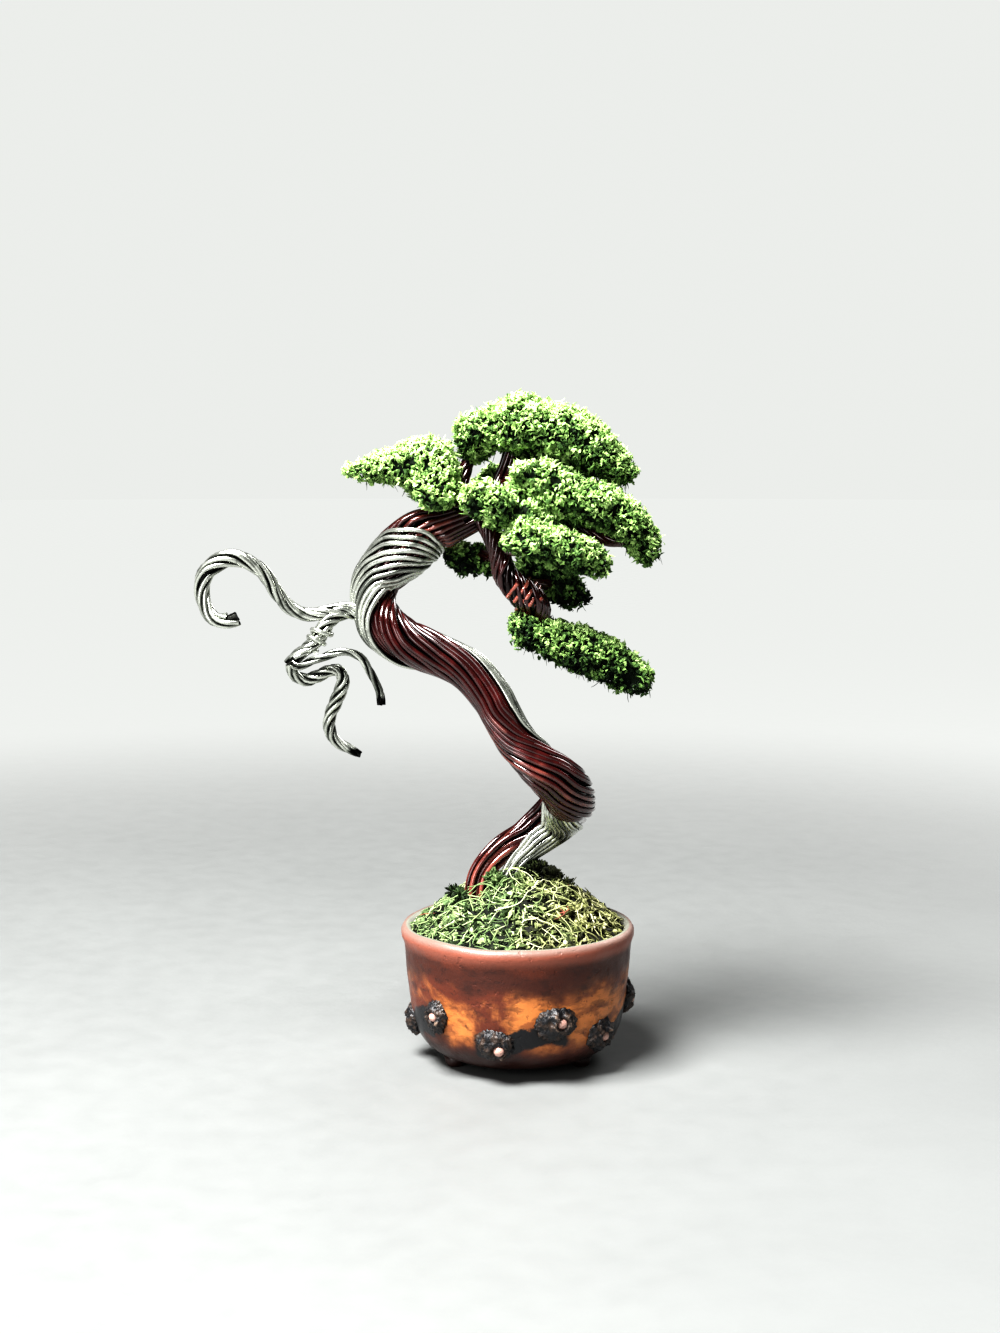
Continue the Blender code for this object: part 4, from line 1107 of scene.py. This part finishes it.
def flock_pad(node, painted_brightness, settings, surface, shapes, rng):
    """A pad of crumbs in clumps over an inside whose dark tone is painted shade, with curls that stand
    out and stray fibres.
    """
    corners, insides = [node_triangles(node)], [shrunk_copy(node, node, 0.55, 2)]
    for x, y, z, *half in SPRIGS.get(node, ()):
        outline, faces = arrays_of(lump(x, y, z, *half))
        corners.append((outline + AXIS)[faces] * MM)
        inside = mesh_from(lump(x, y, z, *(size * 0.72 for size in half)), node)
        set_tone(inside, PAINTED_SHADE_TONE)
        insides.append(object_from(inside, node, None))
    corners = np.concatenate(corners)
    area = crossings(corners)[1].sum() / 2 / MM**2
    points, normals = sampled(corners, round(area * settings.density), rng)
    clump = soft_noise(points, 420.0, 1.0) + 0.6 * soft_noise(points, 1050.0, 2.0)
    kept = clump + rng.normal(0.0, 0.12, len(clump)) > FLOCK_GAP
    points, normals, clump = points[kept], normals[kept], clump[kept]
    count = len(points)
    depth = rng.uniform(-0.50, 0.25, count) + 0.45 * clump
    stray = rng.random(count) < STRAY_SHARE
    depth = np.where(stray, depth + rng.uniform(0.15, 0.5, count), depth)
    points = points + normals * (depth * MM)[:, None]
    low, high = (np.array(corner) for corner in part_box(node))
    rise = (points[:, 2] - low[2]) / (high[2] - low[2])
    sizes = settings.size * rng.uniform(0.55, 1.25, count)[:, None] * rng.uniform(0.85, 1.15, (count, 3))
    sizes[stray] *= (1.3, 0.6, 0.6)
    turns = bases(normals * 0.45 + rng.normal(0.0, 0.8, points.shape), rng)
    # painted light and shade: crumbs that face up and crumbs that stand high in the pad are coloured
    # lighter, and those deep in troughs darker
    tone = 0.54 + 0.22 * normals[:, 2] + 0.18 * (rise - 0.5) + 0.34 * np.clip(clump, -0.8, 0.6)
    tone += 0.5 * np.clip(depth, -0.5, 0.2) + rng.normal(0.0, 0.09, count) + painted_brightness
    crumbs = scattered(node, shapes, points, turns, sizes, np.clip(tone, 0.02, 1.0), rng)

    spots, facing = sampled(corners, round(area * FIBRES), rng)
    under = facing[:, 2] < -0.1
    spots, facing = spots[under], facing[under]
    hang = unit(facing * 0.6 + rng.normal(0.0, 0.5, spots.shape) + (0.0, 0.0, -0.8))
    length = rng.uniform(0.5, 1.3, len(spots))
    spots = spots + hang * (length * 0.6 * MM)[:, None]
    sizes = np.column_stack((length, *(rng.uniform(0.25, 0.5, (2, len(spots)))))) * MM
    fibres = scattered(node, strand_shapes(rng), spots, bases(hang, rng), sizes,
                       rng.uniform(0.03, 0.25, len(spots)), rng)
    loose = [object_from(mesh, node, None) for mesh in (crumbs, fibres)]
    return joined(node.replace("foliage", "flock"), loose + insides, surface)


def mound_top(x, y):
    """Height of the moss mound over points about the pot's axis, in millimetres."""
    peak = np.array(MOUND_PEAK[:2])
    away = np.column_stack((x, y)) - peak
    far = np.linalg.norm(away, axis=1) + 1e-6
    along = away @ peak / far
    reach = -along + np.sqrt(along**2 - peak @ peak + MOUND_RADIUS**2)
    return MOUND_EDGE + (MOUND_PEAK[2] - MOUND_EDGE) * np.maximum(0.0, 1.0 - (far / reach) ** MOUND_FALL)


def hollowed(points):
    """Points in metres, lowered where the mound dips round the brown leg."""
    x, y, radius, depth = HOLLOW
    local = points / MM - AXIS
    away = np.hypot(local[..., 0] - x, local[..., 1] - y)
    lowered = points.copy()
    lowered[..., 2] -= depth * MM * np.exp(-((away / radius) ** 2))
    return lowered


def tuft(centre, radius, count, tone, rng):
    """Places, directions and tones of leaves that make one rounded tuft."""
    out = unit(rng.normal(size=(count, 3)))
    x, y, lift = centre
    middle = np.array((x, y, mound_top(np.array([x]), np.array([y]))[0] + lift))
    places = (middle + AXIS + out * radius * rng.uniform(0.6, 1.0, (count, 1))) * MM
    # painted light: leaves on top of a tuft are coloured lighter
    return places, out, tone + rng.normal(0.0, 0.09, count) + 0.10 * out[:, 2]


def moss_pieces(settings, rng):
    """Leaves and tufts, short strands, long strands laid over them, and the bed beneath, whose dark tone
    is painted shade.
    """
    corners = node_triangles("moss_cover")
    crossed, length = crossings(corners)
    upward = crossed[:, 2] > 0.25 * length
    corners = hollowed(corners[upward & (corners[:, :, 2].min(axis=1) > (MOUND_EDGE - 0.7) * MM)])
    places, normals = sampled(corners, settings.leaves, rng)
    clump = soft_noise(places, 480.0, 2.0) + 0.5 * soft_noise(places, 1100.0, 4.0)
    kept = clump + rng.normal(0.0, 0.10, len(clump)) > -0.12
    places, normals, clump = places[kept], normals[kept], clump[kept]
    places = places + normals * ((rng.uniform(-0.25, 0.35, len(places)) + 0.45 * clump) * MM)[:, None]
    tones = np.where(rng.random(len(places)) < LIGHT_SHARE, 0.62, 0.24)
    # painted light and shade: leaves on the clumps are coloured lighter, those between darker
    tones = tones + rng.normal(0.0, 0.11, len(places)) + 0.22 * clump
    turns = lying(normals, 0.35, rng)
    sets = [(places, turns, tones)]
    sets += [tuft(centre, radius, round(75 * radius**2), tone, rng) for *centre, radius, tone in TUFTS]
    places, turns, tones = (np.concatenate(part) for part in zip(*sets))
    sizes = rng.uniform(0.32, 0.80, (len(places), 1)) * np.array((1.0, 0.7, 0.5)) * MM
    leaves = scattered("moss_leaves", crumb_shapes(rng), places, bases(turns, rng), sizes,
                       np.clip(tones, 0.03, 0.82), rng)

    places, normals = sampled(corners, settings.strands, rng)
    places = places + normals * (rng.uniform(0.1, 0.75, len(places)) * MM)[:, None]
    turns = lying(normals, 0.14, rng)
    thick = rng.uniform(0.5, 1.0, len(places))
    sizes = np.column_stack((rng.uniform(0.8, 2.0, len(places)), thick, thick)) * MM
    tones = np.where(rng.random(len(places)) < RED_SHARE, 0.99,
                     np.clip(rng.normal(0.68, 0.12, len(places)), 0.3, 0.90))
    strands = scattered("moss_strands", strand_shapes(rng), places, bases(turns, rng), sizes, tones, rng,
                        smooth=True)

    # painted shade: a dark layer under the moss leaves
    bed = shrunk_copy("moss_cover", "moss_bed", 0.3, 0)
    for vert in bed.data.vertices:
        vert.co = hollowed(np.array(vert.co))
    pieces = [object_from(leaves, "moss_leaves", None), object_from(strands, "moss_strands", None), bed]
    starts = [(*spot, rng.uniform(0.0, 2 * math.pi), rng.uniform(4.0, 9.0), rng.uniform(0.6, 0.85))
              for spot in rng.uniform(-11.0, 11.0, (settings.long_strands, 2))]
    for x, y, heading, length, tone in (*LONG_STRANDS, *starts):
        steps = np.linspace(0.0, length, 14)
        bend = heading + np.cumsum(wobble(14, 0.16, rng, 5))
        xs, ys = x + np.cumsum(np.cos(bend)) * length / 14, y + np.cumsum(np.sin(bend)) * length / 14
        inside = np.hypot(xs, ys) < MOUND_RADIUS - 0.8
        if inside.sum() < 4:
            continue
        lift = 0.85 + 0.5 * np.sin(steps / length * math.pi) + wobble(14, 0.12, rng, 7)
        path = np.column_stack((xs, ys, mound_top(xs, ys) + lift))[inside]
        pieces.append(wire(path, 0.13 * np.linspace(1.0, 0.5, inside.sum()), tone, 0))
    return pieces


# Operators


def set_piece(made, slot, *nodes):
    """Puts a finished piece under the root body, and hides the CAD nodes that it replaces."""
    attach(made, "root")
    if nodes:
        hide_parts(*nodes)


def pot_body(settings):
    """The wall, lip and base, turned and then pushed a little out of true."""
    profile, _ = evenly([(radius, 0.0, z) for radius, z in POT_PROFILE], 0.9)
    profile[:, 0] = np.maximum(profile[:, 0], 0.0)
    bm = bmesh.new()
    points = [bm.verts.new(row) for row in profile]
    edges = [bm.edges.new(pair) for pair in zip(points, points[1:])]
    bmesh.ops.spin(bm, geom=points + edges, cent=(0, 0, 0), axis=(0, 0, 1), angle=2 * math.pi,
                   steps=POT_STEPS, use_merge=True)
    bmesh.ops.remove_doubles(bm, verts=bm.verts, dist=1e-4)
    amount = settings.unevenness / MM
    for vert in bm.verts:
        out = Vector((vert.co.x, vert.co.y, 0.0))
        if out.length > 9.0:
            push = noise.noise(vert.co * 0.16) + 0.35 * noise.noise(vert.co * 0.6)
            rise = noise.noise(Vector((vert.co.x, vert.co.y, 40.0)) * 0.12)
            vert.co += out.normalized() * push * amount
            vert.co.z += rise * amount * 1.4 * max(0.0, (vert.co.z - 12.0) / 10.0)
    return mesh_from(bm, "pot_body")


def pot_feet():
    """Three squat nubs under the base."""
    bm = bmesh.new()
    for degrees in FEET:
        angle = math.radians(degrees)
        spot = Matrix.Translation((FOOT_CIRCLE * math.cos(angle), FOOT_CIRCLE * math.sin(angle), 1.05))
        foot = bmesh.ops.create_cone(bm, cap_ends=True, segments=14, radius1=1.45, radius2=2.1, depth=2.1,
                                     matrix=spot)
        edges = list({edge for vert in foot["verts"] for edge in vert.link_edges
                      if max(end.co.z for end in edge.verts) < 0.5})
        bmesh.ops.bevel(bm, geom=edges, offset=0.45, segments=3, affect="EDGES", profile=0.5, material=-1)
    return mesh_from(bm, "pot_feet")


def stud(angle, z, width, height, bead_x, bead_z, seed):
    """One craggy stud with a socket for its bead, and the bead's place."""
    theta = math.radians(angle)
    radius, lean = LOW_SEAT if z < ROW_SPLIT else HIGH_SEAT
    out = Vector((math.cos(theta), math.sin(theta), lean)).normalized()
    along = Vector((-math.sin(theta), math.cos(theta), 0.0))
    up = out.cross(along)
    centre = Vector((radius * math.cos(theta), radius * math.sin(theta), z))
    bm = bmesh.new()
    bmesh.ops.create_icosphere(bm, subdivisions=5, radius=1.0)
    layer = bm.verts.layers.float.new("tone")
    for vert in bm.verts:
        x, y, w = vert.co.x * width, vert.co.y * height, vert.co.z * 1.35
        spot = Vector((x, y, w * 0.5 + seed * 9.1))
        crag = noise.noise(spot * 0.9) * 0.5 + abs(noise.noise(spot * 1.9)) * 0.55
        crag += noise.noise(spot * 4.5) * 0.22
        away = math.hypot(x - bead_x, (y - bead_z) * 1.1)
        collar = math.exp(-(((away - BEAD_RADIUS - 0.35) / 0.42) ** 2)) * 0.55
        socket = math.exp(-((away / (BEAD_RADIUS * 0.8)) ** 2)) * 0.7
        push = 1.0 + 0.32 * crag
        lift = w * (0.95 + 0.5 * crag) + (collar * (0.6 + crag) - socket if w > 0 else 0.0)
        vert.co = centre + along * x * push + up * y * push + out * lift
        # painted highlight, with wear: high crags and the collar round the bead get a high tone
        vert[layer] = 0.30 + 0.75 * crag + 0.5 * collar
    return bm, centre + along * bead_x + up * bead_z + out * BEAD_LIFT


def pot_studs():
    """All the studs as one mesh, and the beads as another."""
    crust, beads = bmesh.new(), bmesh.new()
    crust.verts.layers.float.new("tone")
    for seed, row in enumerate(STUDS):
        one, spot = stud(*row, seed)
        held = bpy.data.meshes.new("stud")
        one.to_mesh(held)
        one.free()
        crust.from_mesh(held)
        bpy.data.meshes.remove(held)
        place = Matrix.Translation(spot) @ Matrix.Diagonal((1.0, 1.0, 0.95, 1.0))
        bmesh.ops.create_icosphere(beads, subdivisions=4, radius=BEAD_RADIUS, matrix=place)
    for vert in beads.verts:
        vert.co += vert.normal * 0.05 * noise.noise(vert.co * 1.3)
    return mesh_from(crust, "pot_studs"), mesh_from(beads, "pot_beads")


class BONSAI_OT_pot(bpy.types.Operator):
    """Turn the pot, set its feet, studs and beads, and glaze them"""

    bl_idname = "bonsai.pot"
    bl_label = "Make Pot"

    def execute(self, context):
        settings = context.scene.bonsai_pot
        glaze = glaze_surface(settings)
        set_piece(object_from(pot_body(settings), "pot_body", glaze), "pot_glaze", "pot")
        set_piece(object_from(pot_feet(), "pot_feet", glaze), "pot_glaze")
        studs, beads = pot_studs()
        set_piece(object_from(studs, "pot_studs", crust_surface(settings)), "pot_glaze")
        set_piece(object_from(beads, "pot_beads", bead_surface(settings)), "pot_glaze")
        return {"FINISHED"}


class BONSAI_OT_moss(bpy.types.Operator):
    """Cover the mound with dried moss, strands and twigs over dark soil"""

    bl_idname = "bonsai.moss"
    bl_label = "Make Moss"

    def execute(self, context):
        settings = context.scene.bonsai_moss
        rng = np.random.default_rng(settings.seed)
        set_piece(joined("moss_mound", moss_pieces(settings, rng), moss_surface()), "moss", "moss_cover")
        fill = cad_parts["potting_fill"].data.materials
        fill.clear()
        fill.append(soil_surface())
        return {"FINISHED"}


class BONSAI_OT_brown_wire(bpy.types.Operator):
    """Lay the brown wires of the trunk and twist the branches"""

    bl_idname = "bonsai.brown_wire"
    bl_label = "Make Brown Wires"

    def execute(self, context):
        settings = context.scene.bonsai_wire
        rng = np.random.default_rng(SEEDS["branches"])
        wires = brown_wires(settings)
        for name, rows in BRANCHES.items():
            tone = 0.22 if name == "drop" else 0.40
            radius = settings.brown_radius / MM * BRANCH_THINNER
            wires += rope(rows, BRANCH_WIRES.get(name, 5), radius, BRANCH_PITCH, tone, rng)
        wires.append(binding(BRANCHES["drop"], (3.4, 4.9), 5.0, 0.1, 0.32, 1.0))
        made = joined("brown_wires", wires, enamel_surface(settings))
        set_piece(made, "brown_wire", "wire_trunk_brown")
        return {"FINISHED"}


class BONSAI_OT_silver_wire(bpy.types.Operator):
    """Lay the silver ribbon and twist the dead twigs"""

    bl_idname = "bonsai.silver_wire"
    bl_label = "Make Silver Wires"

    def execute(self, context):
        settings = context.scene.bonsai_wire
        rng = np.random.default_rng(SEEDS["twigs"])
        wires = silver_wires(settings)
        for name, rows in TWIGS.items():
            strands, radius, pitch = TWIG_WIRES[name]
            end_tone = 0.0 if name in ("fork_upper", "fork_lower") else None
            wires += rope(rows, strands, radius, pitch, 0.78, rng, end_tone)
        wires.append(binding(TWIGS["fork"], (3.6, 5.2), 2.2, 0.25, 0.4, 0.7))
        made = joined("silver_wires", wires, bare_surface(settings))
        set_piece(made, "silver_wire", "wire_ribbon_silver")
        return {"FINISHED"}


class BONSAI_OT_foliage(bpy.types.Operator):
    """Cover each pad with flock crumbs"""

    bl_idname = "bonsai.foliage"
    bl_label = "Make Foliage"

    def execute(self, context):
        settings = context.scene.bonsai_flock
        rng = np.random.default_rng(settings.seed)
        surface = flock_surface()
        shapes = crumb_shapes(rng)
        for node, painted_brightness in PADS.items():
            set_piece(flock_pad(node, painted_brightness, settings, surface, shapes, rng), "foliage", node)
        return {"FINISHED"}


def area_light(name, place, size, power):
    """A soft light turned to the middle of the object."""
    light = bpy.data.lights.new(name, "AREA")
    light.shape = "RECTANGLE"
    light.size, light.size_y = size
    light.energy = power
    made = bpy.data.objects.new(name, light)
    made.location = place
    made.rotation_euler = (Vector(place) - Vector(MIDDLE)).to_track_quat("Z", "Y").to_euler()
    bpy.context.scene.collection.objects.link(made)


class BONSAI_OT_stage(bpy.types.Operator):
    """Lay the pale floor, hang the soft lights and set the camera"""

    bl_idname = "bonsai.stage"
    bl_label = "Make Stage"

    def execute(self, context):
        settings = context.scene.bonsai_stage
        bm = bmesh.new()
        bmesh.ops.create_circle(bm, cap_ends=True, segments=96, radius=4.0)
        mesh = bpy.data.meshes.new("floor")
        bm.to_mesh(mesh)
        bm.free()
        object_from(mesh, "floor", floor_surface(settings))

        area_light("overhead", (-0.16, -0.16, 0.46), (0.24, 0.20), settings.key)
        area_light("front", (-0.30, -0.50, 0.22), (0.22, 0.30), settings.fill)
        area_light("back", (0.32, 0.42, 0.40), (0.26, 0.26), settings.fill)

        world = bpy.data.worlds.new("studio")
        world.use_nodes = True
        tree = world.node_tree
        around = add_node(tree, "ShaderNodeBackground", {"Color": (0.80, 0.83, 0.83, 1.0),
                                                         "Strength": settings.room})
        behind = add_node(tree, "ShaderNodeBackground", {"Color": settings.backdrop, "Strength": 1.0})
        seen = add_node(tree, "ShaderNodeLightPath").outputs["Is Camera Ray"]
        both = add_node(tree, "ShaderNodeMixShader",
                        {0: seen, 1: around.outputs[0], 2: behind.outputs[0]})
        tree.links.new(both.outputs[0], tree.nodes["World Output"].inputs["Surface"])
        context.scene.world = world
        context.scene.view_settings.view_transform = "Standard"
        context.scene.view_settings.look = "High Contrast"

        camera = bpy.data.objects.new("camera", bpy.data.cameras.new("camera"))
        camera.data.sensor_fit = "VERTICAL"
        camera.data.sensor_height = 36.0
        camera.data.lens = CAMERA_LENS
        camera.data.clip_start = 0.01
        camera.location = CAMERA_PLACE
        camera.rotation_euler = (math.radians(90.0 - CAMERA_PITCH), 0.0, 0.0)
        context.scene.collection.objects.link(camera)
        context.scene.camera = camera
        return {"FINISHED"}


class BONSAI_PT_panel(bpy.types.Panel):
    """Every setting and step of the bonsai"""

    bl_label = "Wire Bonsai"
    bl_idname = "BONSAI_PT_panel"
    bl_space_type = "VIEW_3D"
    bl_region_type = "UI"
    bl_category = "Bonsai"

    def draw(self, context):
        for name, kind in SETTINGS.items():
            box = self.layout.box()
            for field in kind.__annotations__:
                box.prop(getattr(context.scene, name), field)
        for step in STEPS:
            self.layout.operator(step.bl_idname)


STEPS = (BONSAI_OT_stage, BONSAI_OT_pot, BONSAI_OT_moss, BONSAI_OT_brown_wire, BONSAI_OT_silver_wire,
         BONSAI_OT_foliage)


def register():
    for kind in (*SETTINGS.values(), *STEPS, BONSAI_PT_panel):
        bpy.utils.register_class(kind)
    for name, kind in SETTINGS.items():
        setattr(bpy.types.Scene, name, bpy.props.PointerProperty(type=kind))


def unregister():
    for name in SETTINGS:
        delattr(bpy.types.Scene, name)
    for kind in reversed((*SETTINGS.values(), *STEPS, BONSAI_PT_panel)):
        bpy.utils.unregister_class(kind)


def main():
    register()
    bpy.ops.bonsai.stage()
    bpy.ops.bonsai.pot()
    bpy.ops.bonsai.moss()
    bpy.ops.bonsai.brown_wire()
    bpy.ops.bonsai.silver_wire()
    bpy.ops.bonsai.foliage()


if __name__ == "__main__":
    main()
